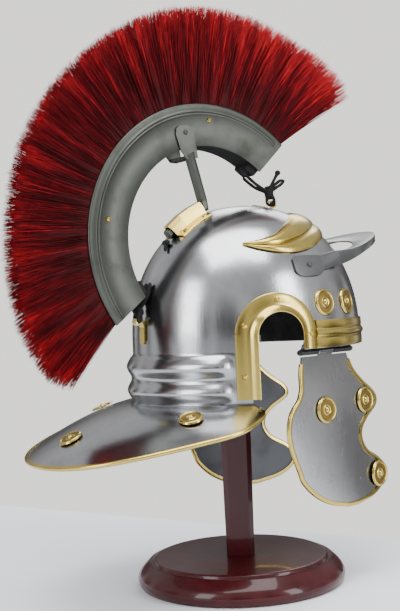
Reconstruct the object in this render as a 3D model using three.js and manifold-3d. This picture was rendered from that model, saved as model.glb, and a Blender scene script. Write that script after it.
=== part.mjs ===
import * as THREE from 'three';
import { mergeVertices } from 'three/addons/utils/BufferGeometryUtils.js';
import Module from 'manifold-3d';

const wasm = await Module();
wasm.setup();

// A legionary helmet on its turned wooden stand, in millimetres, +Z up.
// The origin is the centre of the stand's underside. The helmet faces -Y, and the wearer's right is -X.

const gap = 0.3; // between pieces that rest on each other
const sheet = 1.4; // steel of the bowl, guards and crest plates
const brass = 1.2; // brass trim

// Bowl: plan ellipse, spring line of the dome and crown
const bowlHalfWidth = 100;
const bowlHalfLength = 118;
const bowlCentre = -19.6;
const domeRise = 128.6;
const domePower = 2.15;
const browLevel = 228;
const springHeight = 11.7; // of the dome above the brow level
const bowlSegments = 32;
const domeRows = 6;
const linerSegments = 20;
const linerRows = 5;

// Pressed ribs at the back of the bowl, and the neck guard below them
const ribHeight = 4.2;
const ribReach = 10;
const ribFoot = 10.2; // of the lower rib above the neck level
const ribStep = 2.5;
const ribSpacing = 22.5;
const neckDrop = 45; // below the brow level
const neckReach = 111;
const neckSlope = 22;
const neckCurl = 1.6;

// Ear openings, their brass guards and rivets
const earForward = 31.6; // centre of the opening behind the bowl's centre
const earRise = 14.7; // centre of its arch above the brow level
const earRadius = 26;
const earStrip = 12.3;
const earFlange = 5.5;

// Brow band, brow guard and brow crescent
const bandHeight = 25.5;
const bandBead = 1.3;
const peakInset = 14; // of its plan inside the bowl's half width
const peakForward = 15; // its reach past the bowl's half length
const peakShift = 20.4; // of its plan's centre before the bowl's
const peakShare = 0.575; // of the dome's rise at the top of its tabs
const peakRise = 4; // of the shelf above the tabs
const peakSlope = 0.3;
const peakWidth = 32;
const peakFlange = 7.2;
const peakTab = 19;
const crescentHeight = 4.4;

// Rosettes and rivets
const rosetteRadius = 12.7;
const neckRosetteRadius = 11.2;
const rosetteHeight = 3.6;
const rosetteFoot = 0.7;
const rivetRadius = 2.9;
const rivetHeight = 2.1;

// Crest: an arc of plates on a core, about a centre in the middle plane
const crestInner = 84;
const crestGap = 55; // between the crown and the crest's inner edge
const crestBack = 66.9; // from the crest's centre to the back of the bowl
const crestDepth = 40.5;
const crestHalfWidth = 14;
const crestFrom = -38.8;
const crestTo = 136.6;
const crestFlare = 6.2; // added radius at both ends
const crestBead = 1.1;
const hairSeat = 7.6; // depth of the hair inside the plates
const hairLength = 113;
const hairSpread = 17;
const hairFrom = -43;
const hairTo = 142.5;

// Crest strut, its holder and the laces
const strutRadius = 5;
const strutAngle = 78.3;
const holderHalfWidth = 17;
const hookWidth = 8;
const hookEye = 2.6;
const laceRadius = 1.5;

// Cheek guards and hinges
const hingeDrop = 3.5; // below the brow level
const hingeRearInset = 8.9; // from the bowl's outer wall
const hingeFrontInset = 5.4;
const hingeBarrel = 2.9;
const hingePinRadius = 1.2;
const hingePlay = 0.35;
const cheekDrop = 149; // hinge axis to the lowest edge
const cheekSpan = 73; // hinge rear end to front end along Y, the unit of the outline's widths
const cheekBulge = 4;

// Liner and stand
const linerThickness = 2;
const baseRadius = 101.6;
const baseTopRadius = 85;
const baseHeight = 26;
const postFoot = 27;
const postHead = 33;
const postTurn = -32.5; // degrees the post is turned against the helmet
const capShare = 0.42;
const capThickness = 10;

const domeSpring = browLevel + springHeight;
const crown = domeSpring + domeRise;
const bowlBack = bowlCentre + bowlHalfLength;
const earCentre = bowlCentre + earForward;
const earSpring = browLevel + earRise;
const peakHalfWidth = bowlHalfWidth - peakInset;
const peakHalfLength = bowlHalfLength + peakForward;
const peakCentre = bowlCentre - peakShift;
const peakLevel = domeSpring + peakShare * domeRise;
const crestY = bowlBack - crestBack;
const crestZ = crown + crestGap - crestInner;
const hingeLevel = browLevel - hingeDrop;
const hingeRearY = earCentre - earRadius + gap;
const hingeFrontY = hingeRearY - cheekSpan;
const wallX = (y) => bowlHalfWidth * Math.sqrt(1 - ((y - bowlCentre) / bowlHalfLength) ** 2);
const hingeRearX = wallX(hingeRearY) - hingeRearInset;
const hingeFrontX = wallX(hingeFrontY) - hingeFrontInset;
const linerInset = sheet + brass + 3.6 * gap; // the hinge leaves lie between the bowl and the liner
const neckLevel = browLevel - neckDrop;
const radians = THREE.MathUtils.degToRad;
const lerp = THREE.MathUtils.lerp;
const vec = (x, y, z) => new THREE.Vector3(x, y, z);

const steel = new THREE.MeshStandardMaterial({ color: 0xb9babd, metalness: 1, roughness: 0.25 });
const greySteel = new THREE.MeshStandardMaterial({ color: 0x85867f, metalness: 0.9, roughness: 0.55 });
const brassMetal = new THREE.MeshStandardMaterial({ color: 0xd2b45a, metalness: 1, roughness: 0.28 });
const leather = new THREE.MeshStandardMaterial({ color: 0x1d1c1f, metalness: 0, roughness: 0.8 });
const lace = new THREE.MeshStandardMaterial({ color: 0x141416, metalness: 0, roughness: 0.85 });
const hair = new THREE.MeshStandardMaterial({ color: 0x8c1519, metalness: 0, roughness: 0.7 });
const wood = new THREE.MeshStandardMaterial({ color: 0x4a1118, metalness: 0, roughness: 0.2 });

const helmet = new THREE.Group();

function add(name, geometry, material) {
  const mesh = new THREE.Mesh(geometry, material);
  mesh.name = name;
  helmet.add(mesh);
}

// Merge shared vertices, drop collapsed triangles and turn the faces outward
function closed(geometry) {
  geometry.deleteAttribute('normal');
  geometry.deleteAttribute('uv');
  const merged = mergeVertices(geometry, 1e-4);
  const position = merged.getAttribute('position');
  const index = [];
  for (let i = 0; i < merged.index.count; i += 3) {
    const [a, b, c] = [0, 1, 2].map((k) => merged.index.getX(i + k));
    if (a !== b && b !== c && c !== a) index.push([a, b, c]);
  }
  const at = (k) => new THREE.Vector3().fromBufferAttribute(position, k);
  const volume = index.reduce((sum, [a, b, c]) => sum + at(a).dot(at(b).cross(at(c))), 0);
  merged.setIndex(index.flatMap(([a, b, c]) => (volume < 0 ? [a, c, b] : [a, b, c])));
  merged.clearGroups();
  merged.computeVertexNormals();
  return merged;
}

// Solid through closed polygons of equal count, capped at both ends unless it closes on itself
function loft(rings, ringClosed = false) {
  const count = rings[0].length;
  const index = [];
  const last = ringClosed ? rings.length : rings.length - 1;
  for (let i = 0; i < last; i++) {
    const here = i * count;
    const next = ((i + 1) % rings.length) * count;
    for (let k = 0; k < count; k++) {
      const j = (k + 1) % count;
      index.push(here + k, here + j, next + j, here + k, next + j, next + k);
    }
  }
  if (!ringClosed) {
    index.push(...cap(rings[0], 0).reverse());
    index.push(...cap(rings[rings.length - 1], (rings.length - 1) * count));
  }
  const geometry = new THREE.BufferGeometry().setFromPoints(rings.flat());
  geometry.setIndex(index);
  return closed(geometry);
}

// Triangles of one polygon in space, turned the way its points run
function cap(ring, offset) {
  const normal = vec(0, 0, 0);
  ring.forEach((p, k) => normal.add(p.clone().cross(ring[(k + 1) % ring.length])));
  normal.normalize();
  const across = ring[1].clone().sub(ring[0]).normalize();
  const up = normal.clone().cross(across);
  const flat = ring.map((p) => new THREE.Vector2(p.dot(across), p.dot(up)));
  return THREE.ShapeUtils.triangulateShape(flat, []).flat().map((k) => k + offset);
}

function mirrored(geometry) {
  return closed(geometry.clone().scale(-1, 1, 1));
}

function solid(geometry) {
  const merged = closed(geometry.clone());
  return new wasm.Manifold(new wasm.Mesh({
    numProp: 3,
    vertProperties: new Float32Array(merged.getAttribute('position').array),
    triVerts: new Uint32Array(merged.index.array),
  }));
}

function geometryOf(body) {
  const mesh = body.getMesh();
  const geometry = new THREE.BufferGeometry();
  geometry.setAttribute('position', new THREE.BufferAttribute(new Float32Array(mesh.vertProperties), 3));
  geometry.setIndex([...mesh.triVerts]);
  return closed(geometry);
}

function joined(...pieces) {
  return geometryOf(pieces.map(solid).reduce((whole, piece) => whole.add(piece)));
}

function cut(piece, ...tools) {
  return geometryOf(tools.map(solid).reduce((whole, tool) => whole.subtract(tool), solid(piece)));
}

// Turned form about Z, its profile given as radius and height pairs
function turned(profile, segments) {
  const points = profile.map(([radius, height]) => new THREE.Vector2(radius, height));
  return closed(new THREE.LatheGeometry(points, segments).rotateX(Math.PI / 2));
}

// Plate cut from an outline of (Y, Z) points, between two places along X
function plateAcross(outline, fromX, toX) {
  const shape = new THREE.Shape(outline.map(([y, z]) => new THREE.Vector2(y, z)));
  const plate = new THREE.ExtrudeGeometry(shape, { depth: toX - fromX, bevelEnabled: false });
  plate.applyMatrix4(new THREE.Matrix4().makeBasis(vec(0, 1, 0), vec(0, 0, 1), vec(1, 0, 0)));
  return closed(plate.translate(fromX, 0, 0));
}

// Round cord or rod along a smooth curve
function cord(points, radius, steps, sides = 4, smooth = 0.5) {
  const path = new THREE.CatmullRomCurve3(points, false, 'catmullrom', smooth);
  const section = new THREE.Shape();
  for (let k = 0; k < sides; k++) {
    const angle = (2 * Math.PI * k) / sides;
    section[k ? 'lineTo' : 'moveTo'](radius * Math.cos(angle), radius * Math.sin(angle));
  }
  return closed(new THREE.ExtrudeGeometry(section, { steps, extrudePath: path, bevelEnabled: false }));
}

// The bowl's form

function domeShare(z, inset = 0) {
  const rise = (z - domeSpring) / (domeRise - inset);
  return rise <= 0 ? 1 : Math.max(0, 1 - rise ** domePower) ** (1 / domePower);
}

function bowlPoint(angle, z, inset = 0) {
  const share = domeShare(z, inset);
  const x = (bowlHalfWidth - inset) * share * Math.cos(angle);
  return vec(x, bowlCentre + (bowlHalfLength - inset) * share * Math.sin(angle), z);
}

function bowlLevel(p) {
  const plan = (p.x / bowlHalfWidth) ** 2 + ((p.y - bowlCentre) / bowlHalfLength) ** 2;
  return plan ** (domePower / 2) + Math.max(0, (p.z - domeSpring) / domeRise) ** domePower;
}

function bowlNormal(p) {
  const step = 0.01;
  const slope = (dx, dy, dz) =>
    bowlLevel(vec(p.x + dx, p.y + dy, p.z + dz)) - bowlLevel(vec(p.x - dx, p.y - dy, p.z - dz));
  return vec(slope(step, 0, 0), slope(0, step, 0), slope(0, 0, step)).normalize();
}

// The place on the bowl reached from a point along a direction
function ontoBowl(point, direction) {
  let [low, high] = [-40, 40];
  for (let k = 0; k < 40; k++) {
    const middle = (low + high) / 2;
    if (bowlLevel(point.clone().addScaledVector(direction, middle)) < 1) low = middle;
    else high = middle;
  }
  return point.clone().addScaledVector(direction, low);
}

// A place on the right side wall, lifted off it
function sidePoint(y, z, lift = 0) {
  const plan = Math.max(0, domeShare(z) ** 2 - ((y - bowlCentre) / bowlHalfLength) ** 2);
  const p = vec(-bowlHalfWidth * Math.sqrt(plan), y, z);
  return p.addScaledVector(bowlNormal(p), lift);
}

// A place on the middle line of the bowl's top, moved sideways and lifted off the bowl
function crownPoint(y, x, lift) {
  const share = Math.abs((y - bowlCentre) / bowlHalfLength) ** domePower;
  const p = vec(0, y, domeSpring + domeRise * (1 - share) ** (1 / domePower));
  const normal = bowlNormal(p);
  return ontoBowl(p.add(vec(x, 0, 0)), normal).addScaledVector(normal, lift);
}

// Lays a flat-backed form on the bowl: its X and Y follow the wall and its Z stands off it
function onBowl(geometry, place) {
  const normal = bowlNormal(place);
  const along = vec(0, 0, 1).cross(normal).normalize();
  const up = normal.clone().cross(along);
  const position = geometry.getAttribute('position');
  for (let k = 0; k < position.count; k++) {
    const [u, v, h] = [position.getX(k), position.getY(k), position.getZ(k)];
    const flat = place.clone().addScaledVector(along, u).addScaledVector(up, v);
    const p = ontoBowl(flat, normal).addScaledVector(normal, h);
    position.setXYZ(k, p.x, p.y, p.z);
  }
  return closed(geometry);
}

function placed(geometry, place, normal) {
  const turn = new THREE.Quaternion().setFromUnitVectors(vec(0, 0, 1), normal);
  geometry.applyQuaternion(turn).translate(place.x, place.y, place.z);
  return closed(geometry);
}

// Ribs: a low step and two rounded crests that fade out behind the ear guards
function ribPush(angle, z) {
  const behindEar = bowlCentre + bowlHalfLength * Math.sin(angle) - (earCentre + earRadius + earStrip);
  const fade = THREE.MathUtils.smoothstep(behindEar, 0.5, earStrip);
  const upper = neckLevel + ribFoot + ribSpacing;
  const crest = (centre) => {
    const away = Math.min(1, Math.abs(z - centre) / ribReach);
    return ribHeight * Math.cos((Math.PI / 2) * away) ** 1.4;
  };
  const step = ribStep * (1 - THREE.MathUtils.smoothstep(z, browLevel - 4, browLevel));
  return fade * (step + crest(upper) + crest(upper - ribSpacing));
}

// Wall of revolution stretched to the bowl's plan, open below, between two insets
// Angles of the bowl's columns; the nearest two move to the rear edges of the ear guards
function bowlAngles(segments) {
  const edge = Math.asin((earCentre + earRadius + earStrip - bowlCentre) / bowlHalfLength);
  const step = (2 * Math.PI) / segments;
  return Array.from({ length: segments }, (_, k) => {
    const snap = [edge, Math.PI - edge].find((way) => Math.abs(k * step - way) <= step / 2);
    return snap ?? k * step;
  });
}

function bowlShell(outerInset, innerInset, outerLevels, innerLevels, segments) {
  const row = (inset) => (z) => [inset, z];
  const rows = [...outerLevels.map(row(outerInset)), ...innerLevels.map(row(innerInset)).reverse()];
  const ring = (angle) => rows.map(([inset, z]) => {
    const push = ribPush(angle, z);
    return z >= crown - inset ? vec(0, bowlCentre, z) : bowlPoint(angle, z, inset - push);
  });
  return loft(bowlAngles(segments).map(ring), true);
}

// Heights up the dome, closer together near the crown, which is the last
function domeLevels(inset, rows = domeRows) {
  const levels = [];
  for (let k = 0; k <= rows; k++) {
    levels.push(domeSpring + (domeRise - inset) * Math.sin((Math.PI / 2) * (k / rows)));
  }
  return levels;
}

// The side view of what is open below the bowl: brow line, ear arch and, behind it, a lower edge
function openOutline({ brow, hinge, margin, rear }) {
  const far = 2 * bowlHalfLength;
  const bottom = neckLevel - 20;
  const radius = earRadius + margin;
  const outline = [[-far, bottom], [-far, brow]];
  if (hinge > brow) outline.push([hingeFrontY - 4, brow], [hingeFrontY - 4, hinge]);
  outline.push([earCentre - radius, hinge]);
  for (let k = 0; k <= 12; k++) {
    const angle = Math.PI * (1 - k / 12);
    outline.push([earCentre + radius * Math.cos(angle), earSpring + 5.5 + radius * Math.sin(angle) - 5.5]);
  }
  outline.push([earCentre + radius, rear]);
  if (rear > bottom) outline.push([far, rear], [far, bottom]);
  return outline;
}

// Neck guard: angles on the wall and on the rim in degrees, reach as a share of the full reach
const neckSections = [
  { wall: 29.6, rim: 29.6, reach: 0.05 },
  { wall: 31, rim: 27, reach: 0.13 },
  { wall: 33.5, rim: 27.8, reach: 0.21 },
  { wall: 37.5, rim: 31, reach: 0.3 },
  { wall: 42, rim: 35, reach: 0.4 },
  { wall: 46, rim: 40, reach: 0.48 },
  { wall: 52, rim: 47, reach: 0.56 },
  { wall: 58, rim: 54.5, reach: 0.655 },
  { wall: 66, rim: 63.5, reach: 0.78 },
  { wall: 74, rim: 72.5, reach: 0.9 },
  { wall: 82, rim: 81, reach: 0.975 },
  { wall: 90, rim: 90, reach: 1 },
];

function neckPoint({ wall, rim, reach }, share) {
  const start = bowlPoint(radians(wall), neckLevel, sheet / 2);
  const foot = bowlPoint(radians(rim), neckLevel, -ribStep);
  const away = bowlNormal(vec(foot.x, foot.y, domeSpring - 1));
  const end = foot.addScaledVector(away, reach * neckReach);
  const p = start.lerp(end, share);
  p.z = neckLevel - Math.tan(radians(neckSlope)) * reach * neckReach * share ** neckCurl;
  return p;
}

function bothSides(rows, make) {
  const right = rows.map((row) => make(row).map((p) => vec(-p.x, p.y, p.z)));
  const left = rows.slice(0, -1).reverse().map(make);
  return [...right, ...left];
}

function neckGuardPlate() {
  const shares = [0, 0.2, 0.45, 0.7, 0.86, 1];
  return loft(bothSides(neckSections, (row) => {
    const top = shares.map((share) => neckPoint(row, share));
    const under = [...top].reverse().map((p) => vec(p.x, p.y, p.z - sheet));
    return [...top, ...under];
  }));
}

// Folded brass edging: a channel that the edge of the sheet enters. Each station has the edge's
// middle, the way out of the sheet and the sheet's normal.
function edging(stations, cover, closedRound = false) {
  const half = sheet / 2 + gap + 0.05;
  const lip = brass * 0.75;
  const section = [
    [-cover, half + lip], [gap * 0.5, half + lip], [gap + lip, 0], [gap * 0.5, -half - lip],
    [-cover, -half - lip], [-cover, -half], [gap, -half], [gap, half], [-cover, half],
  ];
  const ring = ({ edge, out, normal }) => section.map(([u, v]) =>
    edge.clone().addScaledVector(out, u).addScaledVector(normal, v));
  return loft(stations.map(ring), closedRound);
}

function edgeStations(edges, inners, normals, clear = 0) {
  return edges.map((edge, k) => {
    const before = edges[Math.max(0, k - 1)];
    const after = edges[Math.min(edges.length - 1, k + 1)];
    const along = after.clone().sub(before).normalize();
    const normal = normals[k].clone().addScaledVector(along, -normals[k].dot(along)).normalize();
    const out = along.clone().cross(normal).normalize();
    if (out.dot(edge.clone().sub(inners[k])) < 0) out.negate();
    return { edge: edge.clone().addScaledVector(out, clear), out, normal };
  });
}

function neckEdging() {
  const rows = neckSections.slice(1);
  const middle = (share) => (row) => [neckPoint(row, share).add(vec(0, 0, -sheet / 2))];
  const edges = bothSides(rows, middle(1)).flat();
  const inners = bothSides(rows, middle(0.86)).flat();
  const normals = edges.map((edge, k) => {
    const along = edges[Math.min(edges.length - 1, k + 1)].clone().sub(edges[Math.max(0, k - 1)]);
    const normal = along.cross(edge.clone().sub(inners[k])).normalize();
    return normal.z < 0 ? normal.negate() : normal;
  });
  return edging(edgeStations(edges, inners, normals, sheet * 0.3), 2.3);
}

function bowlForm() {
  const upper = neckLevel + ribFoot + ribSpacing;
  const lower = upper - ribSpacing;
  const wall = [neckLevel - 2, lower - 5, lower, lower + 5, lower + 10, upper - 6.5, upper, upper + 5];
  const outer = [...wall, browLevel - 3.5, browLevel - 0.5, browLevel + 4, ...domeLevels(0)];
  const inner = [...wall, browLevel - 0.5, ...domeLevels(sheet)];
  const shell = bowlShell(0, sheet, outer, inner, bowlSegments);
  const below = openOutline({ brow: browLevel, hinge: browLevel, margin: 0, rear: 0 });
  const opened = cut(shell, plateAcross(below, -2 * bowlHalfWidth, 2 * bowlHalfWidth));
  return joined(opened, neckGuardPlate());
}

function linerForm() {
  const outer = [browLevel, ...domeLevels(linerInset, linerRows)];
  const inner = [browLevel, ...domeLevels(linerInset + linerThickness, linerRows)];
  const shell = bowlShell(linerInset, linerInset + linerThickness, outer, inner, linerSegments);
  const below = openOutline({ brow: browLevel + 1, hinge: browLevel + 8, margin: 3, rear: browLevel + 1 });
  return cut(shell, plateAcross(below, -2 * bowlHalfWidth, 2 * bowlHalfWidth));
}

// Ear guard: a flat strip round the opening with its inner edge turned out
function earPath() {
  const path = [];
  const side = (y, z, outY) => path.push({ y, z, outY, outZ: 0 });
  side(earCentre - earRadius, browLevel + 0.6, -1);
  for (let k = 0; k <= 12; k++) {
    const angle = Math.PI * (1 - k / 12);
    path.push({
      y: earCentre + earRadius * Math.cos(angle),
      z: earSpring + earRadius * Math.sin(angle),
      outY: Math.cos(angle),
      outZ: Math.sin(angle),
    });
  }
  for (const share of [0.33, 0.67, 1]) {
    side(earCentre + earRadius, lerp(earSpring, neckLevel + 3, share), 1);
  }
  return path;
}

const earSection = [
  [earStrip, gap], [earStrip / 2, gap], [0, gap], [-earFlange - 0.3, earFlange + gap + 0.3],
  [-earFlange + 0.5, earFlange + gap + 1.1], [0.6, gap + brass], [earStrip, gap + brass],
];

function earGuardForm() {
  return loft(earPath().map(({ y, z, outY, outZ }) =>
    earSection.map(([away, lift]) => sidePoint(y + outY * away, z + outZ * away, lift + 0.3))));
}

function rivetForm() {
  return turned([[0, rivetHeight], [rivetRadius * 0.7, rivetHeight * 0.72], [rivetRadius, 0], [0, 0]], 6);
}

// With a foot, the rosette stands on a short stem that keeps it clear of the edging beside it
function rosetteForm(radius, foot = 0) {
  const stem = radius * 0.4;
  const seat = foot ? [[stem, 0], [stem, -foot], [0, -foot]] : [[0, 0]];
  const share = (r, h) => [r * radius, h * rosetteHeight];
  return turned([
    share(0, 1), share(0.26, 0.4), share(0.76, 0.34), share(0.9, 0.6), [radius, 0], ...seat,
  ], 8);
}

// Brow band round the front, its middle raised in a bead
function browBandForm() {
  const startY = earCentre - earRadius - earStrip - gap;
  const startAngle = Math.asin((startY - bowlCentre) / bowlHalfLength);
  const bottom = browLevel + 0.6;
  const skin = 2 * gap + 0.25;
  const face = skin + brass;
  const section = [
    [0, skin], [0, face], [0.36, face], [0.44, face + bandBead], [0.58, face + bandBead],
    [0.66, face], [1, face], [1, skin],
  ];
  const rings = [];
  const steps = 20;
  for (let k = 0; k <= steps; k++) {
    const angle = lerp(Math.PI - startAngle, 2 * Math.PI + startAngle, k / steps);
    rings.push(section.map(([share, lift]) => bowlPoint(angle, bottom + share * bandHeight, -lift)));
  }
  return loft(rings);
}

// Brow guard: a shelf with a turned-down rim, level beside the bowl and rising before it, and
// ending each side in a tab riveted to the bowl
function peakShelf(y) {
  const before = peakCentre - peakHalfLength * 0.39 - y;
  return peakLevel + peakRise + peakSlope * 0.5 * (before + Math.hypot(before, 20));
}

function browGuardForm() {
  const right = [];
  const turns = [0, 12, 24, 36, 48, 59, 69, 77];
  for (const turn of turns) {
    const a = radians(turn);
    const rim = (inward) => {
      const y = peakCentre - (peakHalfLength - inward) * Math.cos(a);
      return vec(-(peakHalfWidth - inward) * Math.sin(a), y, peakShelf(y));
    };
    const width = peakWidth * Math.cos(a) ** 2 + 2 * sheet;
    const depth = peakFlange + (peakTab - peakFlange - 2) * Math.sin(a) ** 12;
    const down = vec(0, 0, -1);
    right.push([
      rim(width), rim(0), rim(0).addScaledVector(down, depth),
      rim(sheet).addScaledVector(down, depth), rim(sheet).addScaledVector(down, sheet),
      rim(width).addScaledVector(down, sheet),
    ]);
  }
  const tabs = [
    { ahead: 30.4, top: 0, depth: 0.72 }, { ahead: 22.4, top: 0, depth: 0.95 }, { ahead: 12.4, top: 0, depth: 1 },
    { ahead: 1.4, top: 0.02, depth: 1 }, { ahead: -3.6, top: 0.06, depth: 0.9 }, { ahead: -6.1, top: 0.16, depth: 0.75 },
  ];
  for (const { ahead, top, depth } of tabs) {
    const y = bowlCentre - ahead;
    const high = peakLevel - top * peakTab + 0.6;
    const low = peakLevel - depth * peakTab;
    const skin = gap + 0.2;
    right.push([
      sidePoint(y, high - 0.4, skin), sidePoint(y, high, skin + sheet), sidePoint(y, low, skin + sheet),
      sidePoint(y, low, skin), sidePoint(y, lerp(low, high, 0.4), skin), sidePoint(y, lerp(low, high, 0.8), skin),
    ]);
  }
  const left = right.slice(1).map((ring) => ring.map((p) => vec(-p.x, p.y, p.z)));
  return loft([...right.reverse(), ...left]);
}

// Brow crescent: turn from the front in degrees, its edges as shares of the dome's rise
const crescentSections = [
  { turn: 0, upper: 0.928, lower: 0.832 },
  { turn: 16, upper: 0.924, lower: 0.822 },
  { turn: 32, upper: 0.915, lower: 0.785 },
  { turn: 48, upper: 0.905, lower: 0.737 },
  { turn: 60, upper: 0.894, lower: 0.695 },
  { turn: 70, upper: 0.88, lower: 0.656 },
  { turn: 80, upper: 0.84, lower: 0.623 },
  { turn: 90, upper: 0.795, lower: 0.604 },
  { turn: 98, upper: 0.747, lower: 0.606 },
  { turn: 106, upper: 0.712, lower: 0.62 },
  { turn: 114, upper: 0.69, lower: 0.643 },
  { turn: 121, upper: 0.681, lower: 0.672 },
];

function crescentForm() {
  const relief = [
    [0, 0.12], [0.04, 0.55], [0.3, 1], [0.54, 0.8], [0.58, 0.34], [0.78, 0.75], [1, 0.4], [1, 0.12], [0.5, 0.12],
  ];
  return loft(bothSides([...crescentSections].reverse(), ({ turn, upper, lower }) => {
    const angle = radians(turn - 90);
    const thin = Math.min(1, (upper - lower) / 0.09);
    return relief.map(([share, height]) => {
      const p = bowlPoint(angle, domeSpring + domeRise * lerp(upper, lower, share));
      const lift = gap + 0.8 + Math.max(0, height - 0.12) * crescentHeight * lerp(0.35, 1, thin);
      return p.addScaledVector(bowlNormal(p), lift);
    });
  }));
}

// The crest's arc: points at an angle from +Y towards +Z and a distance from the inner edge
const crestMiddle = (crestFrom + crestTo) / 2;

function crestPoint(degrees, depth, x) {
  const end = (degrees - crestMiddle) / (crestTo - crestMiddle);
  const radius = crestInner + crestFlare * Math.min(1.4, end * end) + depth;
  return vec(x, crestY + radius * Math.cos(radians(degrees)), crestZ + radius * Math.sin(radians(degrees)));
}

function crestAngles(steps, from = crestFrom, to = crestTo) {
  return Array.from({ length: steps + 1 }, (_, k) => lerp(from, to, k / steps));
}

function crestPlateForm() {
  const face = -crestHalfWidth;
  const back = face + sheet;
  const angles = [crestFrom, crestFrom + 2.5, ...crestAngles(16, crestFrom + 8, crestTo - 8), crestTo - 2.5, crestTo];
  return loft(angles.map((angle, k) => {
    const raised = k === 0 || k >= angles.length - 2 ? 0 : crestBead;
    const section = [
      [0, face], [crestDepth - 10.5, face], [crestDepth - 8.2, face - raised], [crestDepth - 6, face],
      [crestDepth - 1, face], [crestDepth, face + sheet / 2], [crestDepth, back], [0, back],
    ];
    return section.map(([depth, x]) => crestPoint(angle, depth, x));
  }));
}

function crestCoreForm() {
  const half = crestHalfWidth - sheet - gap;
  const top = crestDepth - hairSeat;
  const lug = 5.5;
  const angles = [
    ...crestAngles(1, crestFrom + 0.4, crestFrom + 9), ...crestAngles(16, crestFrom + 9.1, crestTo - 9.1),
    ...crestAngles(1, crestTo - 9, crestTo - 0.4),
  ];
  return loft(angles.map((angle, k) => {
    const low = k < 2 || k > angles.length - 3 ? -lug : 0.5;
    const inset = low < 0 ? 3 : 0;
    return [
      crestPoint(angle, low, inset - half), crestPoint(angle, top, -half),
      crestPoint(angle, top, half), crestPoint(angle, low, half - inset),
    ];
  }));
}

// Hair: angle at the tips in degrees, and length beyond the plates as a share of the longest
const hairTips = [
  { tip: -43, length: 0.62 }, { tip: -38, length: 0.69 }, { tip: -27, length: 0.7 }, { tip: -7, length: 0.66 },
  { tip: 10, length: 0.64 }, { tip: 25, length: 0.665 }, { tip: 39, length: 0.68 }, { tip: 48, length: 0.69 },
  { tip: 57, length: 0.72 }, { tip: 65, length: 0.745 }, { tip: 78, length: 0.8 }, { tip: 89, length: 0.84 },
  { tip: 100, length: 0.87 }, { tip: 113, length: 0.905 }, { tip: 122, length: 0.925 }, { tip: 128, length: 0.965 },
  { tip: 135, length: 1 }, { tip: 140, length: 1 }, { tip: 142.5, length: 0.93 },
];

function hairShare(angle) {
  const next = Math.max(1, hairTips.findIndex(({ tip }) => tip >= angle - 1e-6));
  const [a, b] = [hairTips[next - 1], hairTips[next]];
  return lerp(a.length, b.length, (angle - a.tip) / (b.tip - a.tip));
}

// Locks: each one swells between its two edges, and all are fused to one backing
function hairForm() {
  const locks = 21;
  const perLock = 2;
  const steps = locks * perLock;
  const root = crestHalfWidth - sheet - 2 * gap;
  const rings = [];
  for (let k = 0; k <= steps; k++) {
    const share = k / steps;
    const full = k % perLock ? 1 : 0;
    const foot = lerp(crestFrom + 0.6, crestTo - 0.6, share);
    const tip = lerp(hairFrom, hairTo, share);
    const length = hairLength * hairShare(tip) - (full ? 0 : 3.5);
    const width = hairSpread - (full ? 0 : 1.6);
    const at = (out, x) => {
      const depth = crestDepth - hairSeat + gap + out * (hairSeat + length);
      return crestPoint(lerp(foot, tip, out), depth, x);
    };
    const lipOut = (hairSeat + 0.6) / (hairSeat + length);
    rings.push([
      at(0, -root), at(lipOut, -root), at(0.92, -width), at(1, -width * 0.5),
      at(1, width * 0.5), at(0.92, width), at(lipOut, root), at(0, root),
    ]);
  }
  return loft(rings);
}

// Holder for the strut: a raised half tube between two flanges, laid along the crown line
const holderFrom = bowlCentre + 0.395 * bowlHalfLength;
const holderTo = bowlCentre + 0.675 * bowlHalfLength;

function holderForm() {
  const w = holderHalfWidth;
  const r = strutRadius + 2.4 * gap + brass;
  const holderCrown = 2 * strutRadius + 4.5 * gap + brass + 0.6;
  const skin = gap + 0.2;
  const top = skin + brass;
  const section = [
    [-w, skin], [-w, top], [-r - 1, top], [-r + 0.6, holderCrown * 0.68], [-r * 0.55, holderCrown],
    [r * 0.55, holderCrown], [r - 0.6, holderCrown * 0.68], [r + 1, top], [w, top], [w, skin],
    [r - 0.2, skin], [r - 1.6, holderCrown * 0.62], [r * 0.34, holderCrown - brass],
    [-r * 0.34, holderCrown - brass], [-r + 1.6, holderCrown * 0.62], [-r + 0.2, skin],
  ];
  const strip = loft([0, 0.33, 0.66, 1].map((share) => {
    const y = lerp(holderFrom, holderTo, share);
    return section.map(([x, lift]) => crownPoint(y, x, lift));
  }));
  const rivets = [0.17, 0.83].flatMap((share) => [-1, 1].map((side) => {
    const y = lerp(holderFrom, holderTo, share);
    const x = (side * (w + r)) / 2;
    return placed(rivetForm(), crownPoint(y, x, top - sheet * 0.5), bowlNormal(crownPoint(y, x, 0)));
  }));
  return joined(strip, ...rivets);
}

// Rod through the given points, mitred at each one
function rod(points, radius, sides) {
  const ways = points.slice(1).map((p, k) => p.clone().sub(points[k]).normalize());
  const side = ways[0].clone().cross(vec(0.3, 1, 0.2)).normalize();
  const up = ways[0].clone().cross(side);
  const rings = [Array.from({ length: sides }, (_, k) => {
    const angle = (2 * Math.PI * k) / sides;
    return points[0].clone().addScaledVector(side, radius * Math.cos(angle))
      .addScaledVector(up, radius * Math.sin(angle));
  })];
  for (let i = 1; i < points.length; i++) {
    const way = ways[i - 1];
    const plane = i < ways.length ? way.clone().add(ways[i]).normalize() : way;
    rings.push(rings[i - 1].map((p) => {
      const travel = points[i].clone().sub(p).dot(plane) / way.dot(plane);
      return p.clone().addScaledVector(way, travel);
    }));
  }
  return loft(rings);
}

// Strut: a rod from the holder to a saddle that straddles the crest and is riveted to both plates
const strutFoot = crestPoint(strutAngle, -1.3 * strutRadius, 0);
const strutElbow = crownPoint(holderFrom - 4.6, 0, 12.5);

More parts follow.
